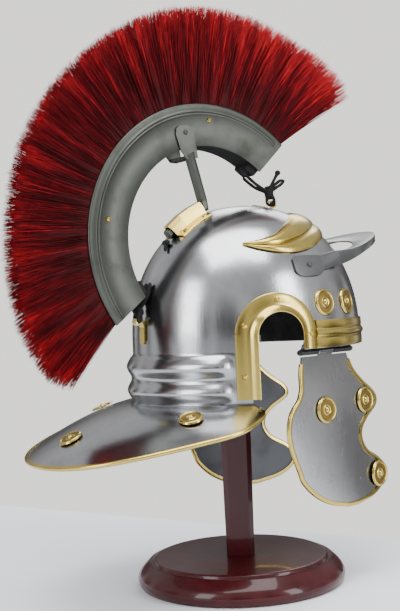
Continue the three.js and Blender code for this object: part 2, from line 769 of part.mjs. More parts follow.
function strutForm() {
  const inner = crestHalfWidth + gap;
  const outer = inner + sheet;
  const outline = [
    [-8.5, -3], [-3, -5], [4.5, -4.4], [10.4, 3], [15.2, 18], [14.6, 23.6], [10.6, 26.8], [2.6, 27.4], [-2.4, 25.6], [-5, 20],
  ].map(([y, z]) => [strutFoot.y + y, strutFoot.z + z]);
  const near = plateAcross(outline, -outer, -inner);
  const far = plateAcross(outline, inner, outer);
  const bridge = [[-8, -2.4], [-3, -4.8], [4, -4.2], [4.5, -1.4]]
    .map(([y, z]) => [strutFoot.y + y, strutFoot.z + z]);
  const across = plateAcross(bridge, -outer, outer);
  const tail = crownPoint(holderFrom - 3.5, 0, strutRadius + gap + 0.9);
  const bar = rod([
    vec(-outer + strutRadius * 0.4, strutFoot.y + 0.6, strutFoot.z + 1),
    vec(0, strutElbow.y, strutElbow.z),
    tail,
    crownPoint((holderFrom + holderTo) / 2, 0, strutRadius + gap + 0.9),
    crownPoint(holderTo + 3, 0, strutRadius + gap + 1.1),
  ], strutRadius, 8);
  const rivet = placed(rivetForm(), vec(-outer + 0.2, strutFoot.y + 4.6, strutFoot.z + 20.6), vec(-1, 0, 0));
  const farRivet = placed(rivetForm(), vec(outer - 0.2, strutFoot.y + 4.6, strutFoot.z + 20.6), vec(1, 0, 0));
  return joined(near, far, across, bar, rivet, farRivet);
}

// Hook: a leaf riveted to the bowl on its middle line, its end curled into an eye.
// Stations run up the leaf as places on the bowl's middle line.
function hookForm(leaf, eye, curlFrom, curlTo) {
  const half = brass * 0.6;
  const skin = gap + 0.2 + half;
  const middle = leaf.map((p) => p.clone().addScaledVector(bowlNormal(p), skin));
  for (let k = 1; k <= 7; k++) {
    const angle = radians(lerp(curlFrom, curlTo, k / 7));
    middle.push(vec(0, eye.y + (hookEye + half) * Math.cos(angle), eye.z + (hookEye + half) * Math.sin(angle)));
  }
  const rings = middle.map((p, k) => {
    const along = middle[Math.min(middle.length - 1, k + 1)].clone().sub(middle[Math.max(0, k - 1)]).normalize();
    const out = vec(1, 0, 0).cross(along).normalize().multiplyScalar(half);
    const w = (hookWidth / 2) * (k === 0 ? 0.5 : 1);
    const side = (x, sign) => p.clone().addScaledVector(out, sign).add(vec(x, 0, 0));
    return [side(-w, -1), side(w, -1), side(w, 1), side(-w, 1)];
  });
  return loft(rings);
}

const frontEyeY = bowlCentre - 0.31 * bowlHalfLength;
const frontEye = vec(0, frontEyeY, crownPoint(frontEyeY, 0, 0).z + 7);
const rearEye = vec(0, bowlBack + 5.6, domeSpring + 20);

function frontHookForm() {
  const leaf = [23, 16, 10, 4].map((back) => crownPoint(frontEyeY + back, 0, 0));
  return hookForm(leaf, frontEye, -60, -300);
}

function rearHookForm() {
  const leaf = [0, 3, 10, 16].map((up) => bowlPoint(Math.PI / 2, domeSpring - 1.5 + up));
  return hookForm(leaf, rearEye, 196, -60);
}

// Laces: each runs through the eye of its hook, up to the core's lug, with a knot between
function loopThrough(eye, knot) {
  const wide = hookWidth / 2 + laceRadius + 0.8;
  const bow = (x) => vec(x, eye.y, eye.z);
  return cord([
    knot, vec(-wide, lerp(eye.y, knot.y, 0.45), lerp(eye.z, knot.z, 0.45)), bow(-wide * 0.9), bow(0),
    bow(wide * 0.9), vec(wide, lerp(eye.y, knot.y, 0.45), lerp(eye.z, knot.z, 0.45)), knot,
  ], laceRadius, 10);
}

function frontTieForm() {
  const lugDepth = -5.5 - gap - laceRadius * 1.8;
  const knot = vec(0, frontEye.y + 1.5, frontEye.z + 12);
  const strand = (x, angle) => {
    const end = crestPoint(angle, lugDepth, x);
    return cord([end, end.clone().lerp(knot, 0.5).add(vec(x * 0.3, 0, -3)), knot], laceRadius, 4);
  };
  const knotForm = cord([vec(0, knot.y - 0.5, knot.z - 6.5), knot.clone().add(vec(0, 0.5, 0)),
    vec(0, knot.y, knot.z + 6)], laceRadius * 2.9, 3, 6);
  const tail = cord([vec(-1, knot.y, knot.z + 4), vec(-3, knot.y - 4, knot.z + 12),
    vec(-3.5, knot.y - 9, knot.z + 20)], laceRadius, 5);
  const tip = placed(new THREE.SphereGeometry(laceRadius * 1.8, 5, 4), vec(-3.5, knot.y - 9, knot.z + 20), vec(0, 0, 1));
  const bow = cord([vec(1, knot.y, knot.z + 3), vec(2, knot.y - 8, knot.z + 8), vec(3, knot.y - 20, knot.z + 15),
    vec(3.5, knot.y - 22, knot.z + 11.5), vec(2, knot.y - 14, knot.z + 7.5), vec(1, knot.y, knot.z)], laceRadius, 8);
  return joined(knotForm, loopThrough(frontEye, knot), strand(-5, crestTo - 9), strand(4, crestTo - 2), tail, tip, bow);
}

function rearTieForm() {
  const lug = crestPoint(crestFrom + 4, -5.5 - gap - laceRadius * 4, 0);
  const knot = vec(0, rearEye.y - 0.8, rearEye.z + 9.5);
  const turns = [0, 1, 2].map((k) => {
    const x = 5.5 - k * 5.2;
    return cord([knot.clone().add(vec(0, 0, k)), vec(x * 1.2, lerp(knot.y, lug.y, 0.3) - 4, lerp(knot.z, lug.z, 0.45)),
      vec(x, lug.y - 1.5 - k * 1.2, lug.z - 0.6 + k * 0.6)], laceRadius * 1.3, 4);
  });
  const knotForm = cord([vec(-4.5, knot.y, knot.z - 2), knot.clone().add(vec(0, 0.5, 1)),
    vec(4.5, knot.y, knot.z + 2)], laceRadius * 3, 3, 6);
  const tail = cord([knot, vec(-6, knot.y + 3.5, knot.z - 3), vec(-8, knot.y + 4.5, knot.z - 10)], laceRadius, 5);
  return joined(knotForm, loopThrough(rearEye, knot), ...turns, tail);
}

function holderKnotForm() {
  const end = crownPoint(holderTo + 3, 0, strutRadius + gap + 1.1);
  const after = crownPoint(holderTo + 7.6, 0, 2.3 + 0.6 * gap);
  const over = end.clone().lerp(after, 0.94);
  const knotForm = cord([over.clone().add(vec(-4, 0.4, 0.4)), over, over.clone().add(vec(4, 0.4, 0.2))], 2.3, 3, 6);
  const tail = cord([over, crownPoint(holderTo + 11, -4, laceRadius + 1), crownPoint(holderTo + 13, -7, laceRadius + 0.8)],
    laceRadius, 4);
  return joined(knotForm, tail);
}

// Cheek guards. The outline's rows give the height below the hinge as a share of the drop,
// and the rear and front edges as shares of the hinge's span, forward of its rear end.
const cheekRows = [
  { down: 0.027, rear: 0.025, front: 0.9 }, { down: 0.09, rear: 0.008, front: 0.95 },
  { down: 0.15, rear: -0.008, front: 1.025 }, { down: 0.225, rear: -0.01, front: 1.19 },
  { down: 0.29, rear: -0.06, front: 1.375 }, { down: 0.34, rear: -0.155, front: 1.45 },
  { down: 0.39, rear: -0.215, front: 1.415 }, { down: 0.455, rear: -0.243, front: 1.22 },
  { down: 0.525, rear: -0.238, front: 1.09 }, { down: 0.6, rear: -0.2, front: 1.085 },
  { down: 0.675, rear: -0.142, front: 1.19 }, { down: 0.74, rear: -0.085, front: 1.42 },
  { down: 0.81, rear: -0.02, front: 1.555 }, { down: 0.9, rear: 0.18, front: 1.49 },
  { down: 0.965, rear: 0.44, front: 1.27 }, { down: 1, rear: 0.76, front: 0.94 },
];

const hingeRear = vec(-hingeRearX, hingeRearY, hingeLevel);
const hingeFront = vec(-hingeFrontX, hingeFrontY, hingeLevel);
const hingeWay = hingeFront.clone().sub(hingeRear).normalize();
const hingeLength = hingeFront.distanceTo(hingeRear);

// A place on the right cheek guard's middle surface: forward and down as in the table, then lifted outward
function cheekPoint(forward, down, lift = 0) {
  const y = hingeRearY - forward * cheekSpan;
  const settle = THREE.MathUtils.smoothstep(down, 0.02, 0.45);
  const centre = hingeRearY - cheekSpan * 0.55;
  const slope = (hingeRearX - hingeFrontX) / (hingeRearY - hingeFrontY);
  const middleX = hingeRearX - slope * (hingeRearY - centre);
  const twist = lerp(slope, slope * 0.6, down);
  const across = (y - centre) / (cheekSpan * 0.85);
  const x = middleX + twist * (y - centre) + settle * cheekBulge * (1 - across * across);
  const p = vec(-x - lift, y, hingeLevel - down * cheekDrop);
  p.y -= lift * twist;
  return p;
}

function cheekPlate() {
  const shares = [0, 0.33, 0.67, 1];
  return loft(cheekRows.map(({ down, rear, front }) => {
    const row = (lift) => shares.map((share) => cheekPoint(lerp(rear, front, share), down, lift));
    return [...row(sheet / 2), ...row(-sheet / 2).reverse()];
  }));
}

// Barrel of one knuckle, between two shares of the hinge's length, bored for the pin
function knuckle(from, to) {
  const length = (to - from) * hingeLength - 0.5;
  const bore = hingePinRadius + hingePlay;
  const barrel = turned([[bore, 0], [hingeBarrel, 0], [hingeBarrel, length], [bore, length], [bore, 0]], 8);
  const place = hingeRear.clone().addScaledVector(hingeWay, from * hingeLength + 0.25);
  return placed(barrel, place, hingeWay);
}

const middleKnuckle = [0.34, 0.62];

function cheekGuardForm() {
  const [from, to] = middleKnuckle;
  const web = [from, to].map((share) => {
    const top = hingeRear.clone().addScaledVector(hingeWay, share * hingeLength + (share === from ? 0.25 : -0.25));
    const out = vec(-1, 0, 0);
    const low = vec(0, 0, -0.05 * cheekDrop);
    const high = vec(0, 0, -hingePinRadius - hingePlay - 0.3);
    return [
      top.clone().addScaledVector(out, sheet / 2).add(high), top.clone().addScaledVector(out, -sheet / 2).add(high),
      top.clone().addScaledVector(out, -sheet / 2).add(low), top.clone().addScaledVector(out, sheet / 2).add(low),
    ];
  });
  return joined(cheekPlate(), loft(web), knuckle(from, to));
}

function cheekEdging() {
  const rows = cheekRows.slice(1);
  const side = (edge, inner) => rows.map((row) => ({
    edge: cheekPoint(row[edge], row.down),
    inner: cheekPoint(lerp(row[edge], row[inner], 0.3), row.down),
    normal: cheekPoint(row[edge], row.down, 1).sub(cheekPoint(row[edge], row.down)),
  }));
  const points = [...side('rear', 'front'), ...side('front', 'rear').reverse()];
  const stations = edgeStations(points.map((p) => p.edge), points.map((p) => p.inner), points.map((p) => p.normal));
  return edging(stations, 2.4);
}

function cheekRosette(forward, down, foot = rosetteFoot) {
  const place = cheekPoint(forward, down, sheet / 2 + gap + foot);
  const step = 0.02;
  const along = cheekPoint(forward + step, down).sub(cheekPoint(forward - step, down));
  const fall = cheekPoint(forward, down + step).sub(cheekPoint(forward, down - step));
  const normal = along.cross(fall).normalize();
  return placed(rosetteForm(rosetteRadius, foot), place, normal.x > 0 ? normal.negate() : normal);
}

// Hinge leaf: a strip against the inside of the bowl, drawn in below to two end knuckles
function hingeLeafForm() {
  const [from, to] = middleKnuckle;
  const wallInset = sheet + 3 * gap;
  const leafTop = browLevel + 7;
  const strip = (start, end, low) => loft([0, 0.34, 0.67, 1].map((share) => {
    const along = lerp(start, end, share) * hingeLength;
    const axis = hingeRear.clone().addScaledVector(hingeWay, along);
    const onWall = (z, inset) => {
      const plan = Math.sqrt(1 - ((axis.y - bowlCentre) / (bowlHalfLength - inset)) ** 2);
      return vec(-(bowlHalfWidth - inset) * plan, axis.y, z);
    };
    const root = low ? hingeLevel + hingePinRadius + hingePlay + 0.4 : browLevel + 2.5;
    const lean = low ? 0 : 0.3;
    const footX = lerp(axis.x, onWall(browLevel, wallInset).x, lean);
    return [
      onWall(leafTop, wallInset), onWall(browLevel + 5, wallInset),
      vec(footX - brass / 2, axis.y, root), vec(footX + brass / 2, axis.y, root),
      onWall(browLevel + 5, wallInset + brass), onWall(leafTop, wallInset + brass),
    ];
  }));
  const margin = 0.5 / hingeLength;
  return joined(
    strip(0.01, 0.99, false), strip(0.01, from - margin, true), strip(to + margin, 0.99, true),
    knuckle(0, from), knuckle(to, 1),
  );
}

function hingePinForm() {
  const length = hingeLength + 3;
  const head = hingePinRadius * 1.7;
  const pin = turned([
    [0, 0], [head, 0], [head, 1.2], [hingePinRadius, 1.2], [hingePinRadius, length - 1.2],
    [head, length - 1.2], [head, length], [0, length],
  ], 8);
  return placed(pin, hingeRear.clone().addScaledVector(hingeWay, -1.5), hingeWay);
}

// Stand: a turned base with a rounded rim and a step, a square post with cut corners and a hidden cap

function baseForm() {
  const profile = [[0, 0], [baseRadius - 5, 0]];
  for (const share of [0.14, 0.4, 0.7, 1]) {
    const angle = (share - 0.32) * (Math.PI / 1.45);
    const radius = lerp(baseTopRadius + 4, baseRadius, Math.cos(angle));
    profile.push([radius, share * (baseHeight - 3)]);
  }
  profile.push([baseTopRadius + 1, baseHeight - 3.6], [baseTopRadius, baseHeight - 1], [baseTopRadius - 1.5, baseHeight]);
  profile.push([0, baseHeight]);
  return turned(profile, 26);
}

function capBottom() {
  return crown - linerInset - linerThickness - 2.4 * capThickness;
}

function postForm() {
  const top = capBottom() - gap;
  const ring = (width, z) => {
    const half = width / 2;
    const corner = width * 0.16;
    const outline = [[half, half - corner], [half - corner, half], [corner - half, half], [-half, half - corner],
      [-half, corner - half], [corner - half, -half], [half - corner, -half], [half, corner - half]];
    return outline.map(([x, y]) => vec(x, y, z).applyAxisAngle(vec(0, 0, 1), radians(postTurn)));
  };
  return loft([ring(postFoot, baseHeight + gap), ring(postHead, top)]);
}

function capForm() {
  const inset = linerInset + linerThickness + 8 * gap;
  const bottom = capBottom();
  const shares = [0, 0.18, 0.32, capShare];
  const level = (share) => domeSpring + (domeRise - inset) * (1 - share ** domePower) ** (1 / domePower);
  const profile = [...shares.map((share) => [share, level(share)]), [capShare, bottom + 4], [capShare - 0.04, bottom], [0, bottom]];
  const form = turned(profile.map(([share, z]) => [share * (bowlHalfWidth - inset), z]), 16);
  return closed(form.scale(1, (bowlHalfLength - inset) / (bowlHalfWidth - inset), 1).translate(0, bowlCentre, 0));
}

function addPair(name, geometry, material) {
  add(`${name}_right`, geometry, material);
  add(`${name}_left`, mirrored(geometry), material);
}

add('bowl', bowlForm(), steel);
add('liner', linerForm(), leather);
add('neck_guard_edging', neckEdging(), brassMetal);
addPair('ear_guard', earGuardForm(), brassMetal);

const rivetRing = earRadius + earStrip / 2;
const earRivets = [
  { y: earCentre - rivetRing, z: earSpring },
  { y: earCentre, z: earSpring + rivetRing },
  { y: earCentre + rivetRing * 0.957, z: earSpring + rivetRing * 0.29 },
  { y: earCentre + rivetRing, z: neckLevel + 24 },
];
earRivets.forEach(({ y, z }, k) => {
  const place = sidePoint(y, z, gap * 2 + 0.3 + brass);
  addPair(`ear_rivet_${k + 1}`, placed(rivetForm(), place, bowlNormal(sidePoint(y, z))), brassMetal);
});

add('brow_band', browBandForm(), brassMetal);
add('brow_guard', browGuardForm(), greySteel);
const peakRivet = sidePoint(bowlCentre - 11.4, peakLevel - 0.45 * peakTab);
addPair('brow_guard_rivet', placed(rivetForm(),
  peakRivet.clone().addScaledVector(bowlNormal(peakRivet), 2 * gap + 0.3 + sheet), bowlNormal(peakRivet)), greySteel);
add('brow_crescent', crescentForm(), brassMetal);

const browRosettes = [{ ahead: 0.186, rise: 0.237 }, { ahead: 0.486, rise: 0.236 }];
browRosettes.forEach(({ ahead, rise }, k) => {
  const place = sidePoint(bowlCentre - ahead * bowlHalfLength, domeSpring + rise * domeRise);
  const form = onBowl(rosetteForm(rosetteRadius).translate(0, 0, gap), place);
  addPair(`brow_rosette_${k + 1}`, form, brassMetal);
});

const neckRosettes = { side: { wall: 55, rim: 52.5, reach: 0.62 }, rear: { wall: 90, rim: 90, reach: 1 } };
function neckRosette(row, share) {
  const place = neckPoint(row, share);
  const out = neckPoint(row, share + 0.06).sub(neckPoint(row, share - 0.06));
  const turn = neckPoint({ ...row, wall: row.wall + 3, rim: row.rim + 3 }, share).sub(place);
  const normal = out.cross(turn).normalize();
  if (normal.z < 0) normal.negate();
  return placed(rosetteForm(neckRosetteRadius, rosetteFoot + 0.2), place.addScaledVector(normal, gap + rosetteFoot + 0.2), normal);
}
const sideRosette = mirrored(neckRosette(neckRosettes.side, 0.5));
addPair('neck_rosette', sideRosette, brassMetal);
add('neck_rosette_rear', neckRosette(neckRosettes.rear, 0.7), brassMetal);

addPair('crest_plate', crestPlateForm(), greySteel);
add('crest_core', crestCoreForm(), leather);
add('crest_plume', hairForm(), hair);
const crestRivets = [{ angle: 94, share: 0.605 }, { angle: 7.9, share: 0.543 }];
crestRivets.forEach(({ angle, share }, k) => {
  const place = crestPoint(angle, share * crestDepth, -crestHalfWidth - gap);
  addPair(`crest_rivet_${k + 1}`, placed(rivetForm(), place, vec(-1, 0, 0)), brassMetal);
});
add('crest_holder', holderForm(), brassMetal);
add('crest_strut', strutForm(), greySteel);
add('holder_knot', holderKnotForm(), lace);
add('front_hook', frontHookForm(), brassMetal);
add('rear_hook', rearHookForm(), brassMetal);
add('front_tie', frontTieForm(), lace);
add('rear_tie', rearTieForm(), lace);

addPair('hinge_leaf', hingeLeafForm(), steel);
addPair('hinge_pin', hingePinForm(), steel);
addPair('cheek_guard', cheekGuardForm(), steel);
addPair('cheek_edging', cheekEdging(), brassMetal);
const cheekRosettes = [
  { forward: 0.4, down: 0.37 }, { forward: 1.19, down: 0.345 }, { forward: 1.39, down: 0.838, foot: rosetteFoot + 1.2 },
];
cheekRosettes.forEach(({ forward, down, foot }, k) => {
  addPair(`cheek_rosette_${k + 1}`, cheekRosette(forward, down, foot), brassMetal);
});

add('stand_base', baseForm(), wood);
add('stand_post', postForm(), wood);
add('stand_cap', capForm(), wood);

export default helmet;
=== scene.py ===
import bmesh, bpy, math
import numpy as np
from mathutils import Matrix, Vector


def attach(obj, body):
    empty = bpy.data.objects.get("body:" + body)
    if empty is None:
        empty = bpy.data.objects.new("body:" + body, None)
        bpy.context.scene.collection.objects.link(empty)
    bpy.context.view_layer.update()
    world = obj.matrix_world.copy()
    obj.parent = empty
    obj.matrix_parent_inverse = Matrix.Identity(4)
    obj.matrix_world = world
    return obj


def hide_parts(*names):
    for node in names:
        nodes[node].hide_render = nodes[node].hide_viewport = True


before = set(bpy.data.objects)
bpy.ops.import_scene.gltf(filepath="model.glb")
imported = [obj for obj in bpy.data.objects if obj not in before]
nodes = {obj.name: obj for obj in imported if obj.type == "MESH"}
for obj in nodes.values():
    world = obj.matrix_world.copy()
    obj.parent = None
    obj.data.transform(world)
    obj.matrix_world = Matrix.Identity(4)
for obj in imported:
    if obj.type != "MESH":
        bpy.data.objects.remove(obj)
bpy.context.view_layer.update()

mm = 0.001
up = Vector((0, 0, 1))


def rad(degrees):
    return math.radians(degrees)


def mix(a, b, t):
    return a + (b - a) * t


def smooth(x, low, high):
    t = min(1.0, max(0.0, (x - low) / (high - low)))
    return t * t * (3 - 2 * t)


def addObject(name, data):
    thing = bpy.data.objects.new(name, data)
    bpy.context.collection.objects.link(thing)
    return thing


# camera
view = {"place": (-0.87576, 0.59254, 0.28014), "turn": 32.51, "down": 0.45, "tilt": 2.59,
        "lens": 63.24, "sensor": 36}


def setCamera():
    yaw, pitch, roll = rad(view["turn"]), rad(view["down"]), rad(view["tilt"])
    look = Vector((math.cos(yaw) * math.cos(pitch), -math.sin(yaw) * math.cos(pitch), -math.sin(pitch)))
    right = look.cross(up).normalized()
    top = right.cross(look)
    sideways = right * math.cos(roll) - top * math.sin(roll)
    upright = right * math.sin(roll) + top * math.cos(roll)
    data = bpy.data.cameras.new("camera")
    data.lens = view["lens"]
    data.sensor_width = view["sensor"]
    camera = addObject("camera", data)
    turn = Matrix((sideways, upright, -look)).transposed().to_4x4()
    camera.matrix_world = Matrix.Translation(view["place"]) @ turn
    bpy.context.scene.camera = camera


setCamera()
print("camera set")

# mesh helpers; every form below is in millimetres and becomes metres here


def makeMesh(name, points, faces, material, sharp=40, body="helmet"):
    mesh = bpy.data.meshes.new(name)
    mesh.from_pydata([tuple(c * mm for c in p) for p in points], [], faces)
    mesh.validate()
    mesh.update()
    mesh.shade_smooth()
    if sharp:
        mesh.set_sharp_from_angle(angle=rad(sharp))
    mesh.materials.append(material)
    thing = addObject(name, mesh)
    fixNormals(mesh)
    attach(thing, body)
    return thing


def fixNormals(mesh):
    work = bmesh.new()
    work.from_mesh(mesh)
    bmesh.ops.remove_doubles(work, verts=work.verts, dist=1e-6)
    bmesh.ops.recalc_face_normals(work, faces=work.faces)
    work.to_mesh(mesh)
    work.free()


def loftFaces(rings, count, ringClosed=False, offset=0):
    faces = []
    last = rings if ringClosed else rings - 1
    for i in range(last):
        here, after = i * count, ((i + 1) % rings) * count
        for k in range(count):
            j = (k + 1) % count
            faces.append([offset + v for v in (here + k, here + j, after + j, after + k)])
    if not ringClosed:
        faces.append([offset + k for k in range(count)][::-1])
        faces.append([offset + (rings - 1) * count + k for k in range(count)])
    return faces


def loft(name, rings, material, ringClosed=False, sharp=40, body="helmet"):
    points = [p for ring in rings for p in ring]
    return makeMesh(name, points, loftFaces(len(rings), len(rings[0]), ringClosed), material, sharp, body)


def mirrored(p):
    return Vector((-p.x, p.y, p.z))


def flip(rings):
    return [[mirrored(p) for p in ring] for ring in rings]


# Gives the faces that look toward the middle of the helmet a darker, rougher metal: partly the unpolished
# inside, partly painted shade on the side turned from the light
def darkenInside(thing, material, side):
    thing.data.materials.append(material)
    sign = 1 if side == "right" else -1
    for face in thing.data.polygons:
        if face.normal.x * sign > 0.5:
            face.material_index = len(thing.data.materials) - 1


def dress(node, material):
    mesh = nodes[node].data
    mesh.materials.clear()
    mesh.materials.append(material)


# Smooth rows of numbers through the given ones.
def spline(rows, steps):
    table = np.array(rows, float)
    padded = np.vstack([2 * table[0] - table[1], table, 2 * table[-1] - table[-2]])
    out = []
    for i in range(len(table) - 1):
        p0, p1, p2, p3 = padded[i:i + 4]
        for k in range(steps):
            t = k / steps
            out.append(0.5 * (2 * p1 + (p2 - p0) * t + (2 * p0 - 5 * p1 + 4 * p2 - p3) * t ** 2
                              + (3 * p1 - p0 - 3 * p2 + p3) * t ** 3))
    out.append(table[-1])
    return np.array(out)


# materials


def newMaterial(name):
    material = bpy.data.materials.new(name)
    material.use_nodes = True
    tree = material.node_tree
    return material, tree.nodes, tree.links, tree.nodes["Principled BSDF"]


def newGroup(name, inputs, outputs):
    group = bpy.data.node_groups.new(name, "ShaderNodeTree")
    for label, kind, value in inputs:
        socket = group.interface.new_socket(label, in_out="INPUT", socket_type=kind)
        socket.default_value = value
    for label, kind in outputs:
        group.interface.new_socket(label, in_out="OUTPUT", socket_type=kind)
    return group, group.nodes.new("NodeGroupInput"), group.nodes.new("NodeGroupOutput")


def mixColour(tree, factor, a, b):
    node = tree.nodes.new("ShaderNodeMix")
    node.data_type = "RGBA"
    for socket, value in (("Factor", factor), ("A", a), ("B", b)):
        wanted = next(s for s in node.inputs if s.name == socket and s.enabled)
        if hasattr(value, "is_output"):
            tree.links.new(value, wanted)
        else:
            wanted.default_value = value
    return next(s for s in node.outputs if s.enabled)


def maths(tree, operation, *values):
    node = tree.nodes.new("ShaderNodeMath")
    node.operation = operation
    for k, value in enumerate(values):
        if hasattr(value, "is_output"):
            tree.links.new(value, node.inputs[k])
        else:
            node.inputs[k].default_value = value
    return node.outputs[0]


def noiseOn(tree, vector, scale, detail=3.0, stretch=None):
    if stretch:
        mapping = tree.nodes.new("ShaderNodeMapping")
        mapping.inputs["Scale"].default_value = stretch
        tree.links.new(vector, mapping.inputs["Vector"])
        vector = mapping.outputs[0]
    node = tree.nodes.new("ShaderNodeTexNoise")
    node.inputs["Scale"].default_value = scale
    node.inputs["Detail"].default_value = detail
    tree.links.new(vector, node.inputs["Vector"])
    return node.outputs["Fac"]


def spread(tree, value, low, high, toLow, toHigh):
    node = tree.nodes.new("ShaderNodeMapRange")
    tree.links.new(value, node.inputs["Value"])
    for label, number in (("From Min", low), ("From Max", high), ("To Min", toLow), ("To Max", toHigh)):
        if hasattr(number, "is_output"):
            tree.links.new(number, node.inputs[label])
        else:
            node.inputs[label].default_value = number
    return node.outputs[0]


def addRelief(shaders, links, surface, height, strength, distance):
    relief = shaders.new("ShaderNodeBump")
    relief.inputs["Strength"].default_value = strength
    relief.inputs["Distance"].default_value = distance
    links.new(height, relief.inputs["Height"])
    links.new(relief.outputs["Normal"], surface.inputs["Normal"])


# Fine polishing lines and soft stains, and painted shade that darkens the hollows.
def metalWear():
    group, inside, out = newGroup("metalWear", [
        ("Clean", "NodeSocketColor", (0.6, 0.6, 0.6, 1)), ("StainedAndShaded", "NodeSocketColor", (0.3, 0.3, 0.3, 1)),
        ("Stain", "NodeSocketFloat", 0.5), ("Polish", "NodeSocketFloat", 0.2),
        ("Dull", "NodeSocketFloat", 0.35)],
        [("Color", "NodeSocketColor"), ("Roughness", "NodeSocketFloat"), ("Height", "NodeSocketFloat")])
    place = group.nodes.new("ShaderNodeTexCoord").outputs["Object"]
    lines = noiseOn(group, place, 900, 2, (1, 1, 0.04))
    blotch = noiseOn(group, place, 38, 5)
    speck = noiseOn(group, place, 420, 3)
    cloud = noiseOn(group, place, 11, 3)
    # where the surface is hollow it turns darker: painted shade in recesses, mixed with the real stains
    hollow = group.nodes.new("ShaderNodeNewGeometry").outputs["Pointiness"]
    hollowShade = spread(group, hollow, 0.40, 0.49, 1.0, 0.0)
    stainAndShade = maths(group, "MULTIPLY", spread(group, blotch, 0.48, 0.75, 0, 1), inside.outputs["Stain"])
    specks = maths(group, "MULTIPLY", spread(group, speck, 0.66, 0.74, 0, 0.5), inside.outputs["Stain"])
    stainAndShade = maths(group, "ADD", stainAndShade, specks)
    stainAndShade = maths(group, "MAXIMUM", stainAndShade, maths(group, "MULTIPLY", hollowShade, 0.75))
    stainAndShade = maths(group, "MINIMUM", stainAndShade, 1.0)
    colour = mixColour(group, stainAndShade, inside.outputs["Clean"], inside.outputs["StainedAndShaded"])
    group.links.new(colour, out.inputs["Color"])
    shine = maths(group, "ADD", maths(group, "MULTIPLY", lines, 0.35), maths(group, "MULTIPLY", cloud, 0.4))
    shine = maths(group, "ADD", shine, maths(group, "MULTIPLY", stainAndShade, 0.5))
    rough = spread(group, shine, 0.2, 0.95, inside.outputs["Polish"], inside.outputs["Dull"])
    group.links.new(rough, out.inputs["Roughness"])
    height = maths(group, "ADD", maths(group, "MULTIPLY", lines, 0.6), maths(group, "MULTIPLY", cloud, 3.0))
    group.links.new(height, out.inputs["Height"])
    return group


wear = metalWear()


# each metal's second colour paints its stains and also the painted shade in its hollows
def metal(name, clean, stainAndShade, stain, polish, dull, bump):
    material, shaders, links, surface = newMaterial(name)
    worn = shaders.new("ShaderNodeGroup")
    worn.node_tree = wear
    for label, value in (("Clean", (*clean, 1)), ("StainedAndShaded", (*stainAndShade, 1)), ("Stain", stain),
                         ("Polish", polish), ("Dull", dull)):
        worn.inputs[label].default_value = value
    surface.inputs["Metallic"].default_value = 1.0
    links.new(worn.outputs["Color"], surface.inputs["Base Color"])
    links.new(worn.outputs["Roughness"], surface.inputs["Roughness"])
    addRelief(shaders, links, surface, worn.outputs["Height"], bump, 0.0004)
    return material


steel = metal("polishedSteel", (0.40, 0.405, 0.42), (0.20, 0.197, 0.197), 0.45, 0.15, 0.34, 0.2)
cheekSteel = metal("cheekSteel", (0.41, 0.415, 0.43), (0.21, 0.207, 0.207), 0.5, 0.2, 0.38, 0.12)
greySteel = metal("greySteel", (0.082, 0.087, 0.077), (0.042, 0.044, 0.038), 0.75, 0.42, 0.58, 0.25)
guardSteel = metal("guardSteel", (0.19, 0.195, 0.2), (0.09, 0.09, 0.09), 0.5, 0.24, 0.44, 0.2)
# darker, rougher steel for the cheek guards' inner faces: partly unpolished metal, partly painted shade
darkSteel = metal("innerSteel", (0.085, 0.088, 0.095), (0.05, 0.05, 0.053), 0.5, 0.45, 0.62, 0.2)
brass = metal("brass", (0.55, 0.42, 0.115), (0.27, 0.195, 0.05), 0.45, 0.18, 0.36, 0.14)
# a darker brass for the rosettes' recessed rings: painted shade in the recesses
brassPaintedShade = metal("brassPaintedShade", (0.24, 0.165, 0.045), (0.12, 0.08, 0.025), 0.5, 0.4, 0.6, 0.2)


def leatherMaterial(name, colour, grain, roughness):
    material, shaders, links, surface = newMaterial(name)
    tree = material.node_tree
    place = shaders.new("ShaderNodeTexCoord").outputs["Object"]
    cells = shaders.new("ShaderNodeTexVoronoi")
    cells.feature = "DISTANCE_TO_EDGE"
    cells.inputs["Scale"].default_value = grain
    links.new(place, cells.inputs["Vector"])
    soft = noiseOn(tree, place, 60, 4)
    lighter = tuple(min(1, c * 2.2 + 0.01) for c in colour)
    tone = mixColour(tree, spread(tree, soft, 0.4, 0.75, 0, 1), (*colour, 1), (*lighter, 1))
    links.new(tone, surface.inputs["Base Color"])
    links.new(spread(tree, soft, 0.3, 0.7, roughness, roughness + 0.2), surface.inputs["Roughness"])
    pores = maths(tree, "ADD", spread(tree, cells.outputs["Distance"], 0, 0.25, 0, 1), soft)
    addRelief(shaders, links, surface, pores, 0.35, 0.0005)
    surface.inputs["Specular IOR Level"].default_value = 0.22
    return material


leather = leatherMaterial("blackLeather", (0.010, 0.0095, 0.010), 900, 0.55)
laceLeather = leatherMaterial("blackLace", (0.006, 0.006, 0.0065), 5200, 0.6)


lacquer = {"deep": (0.026, 0.0020, 0.0034, 1), "bright": (0.062, 0.0045, 0.0068, 1)}


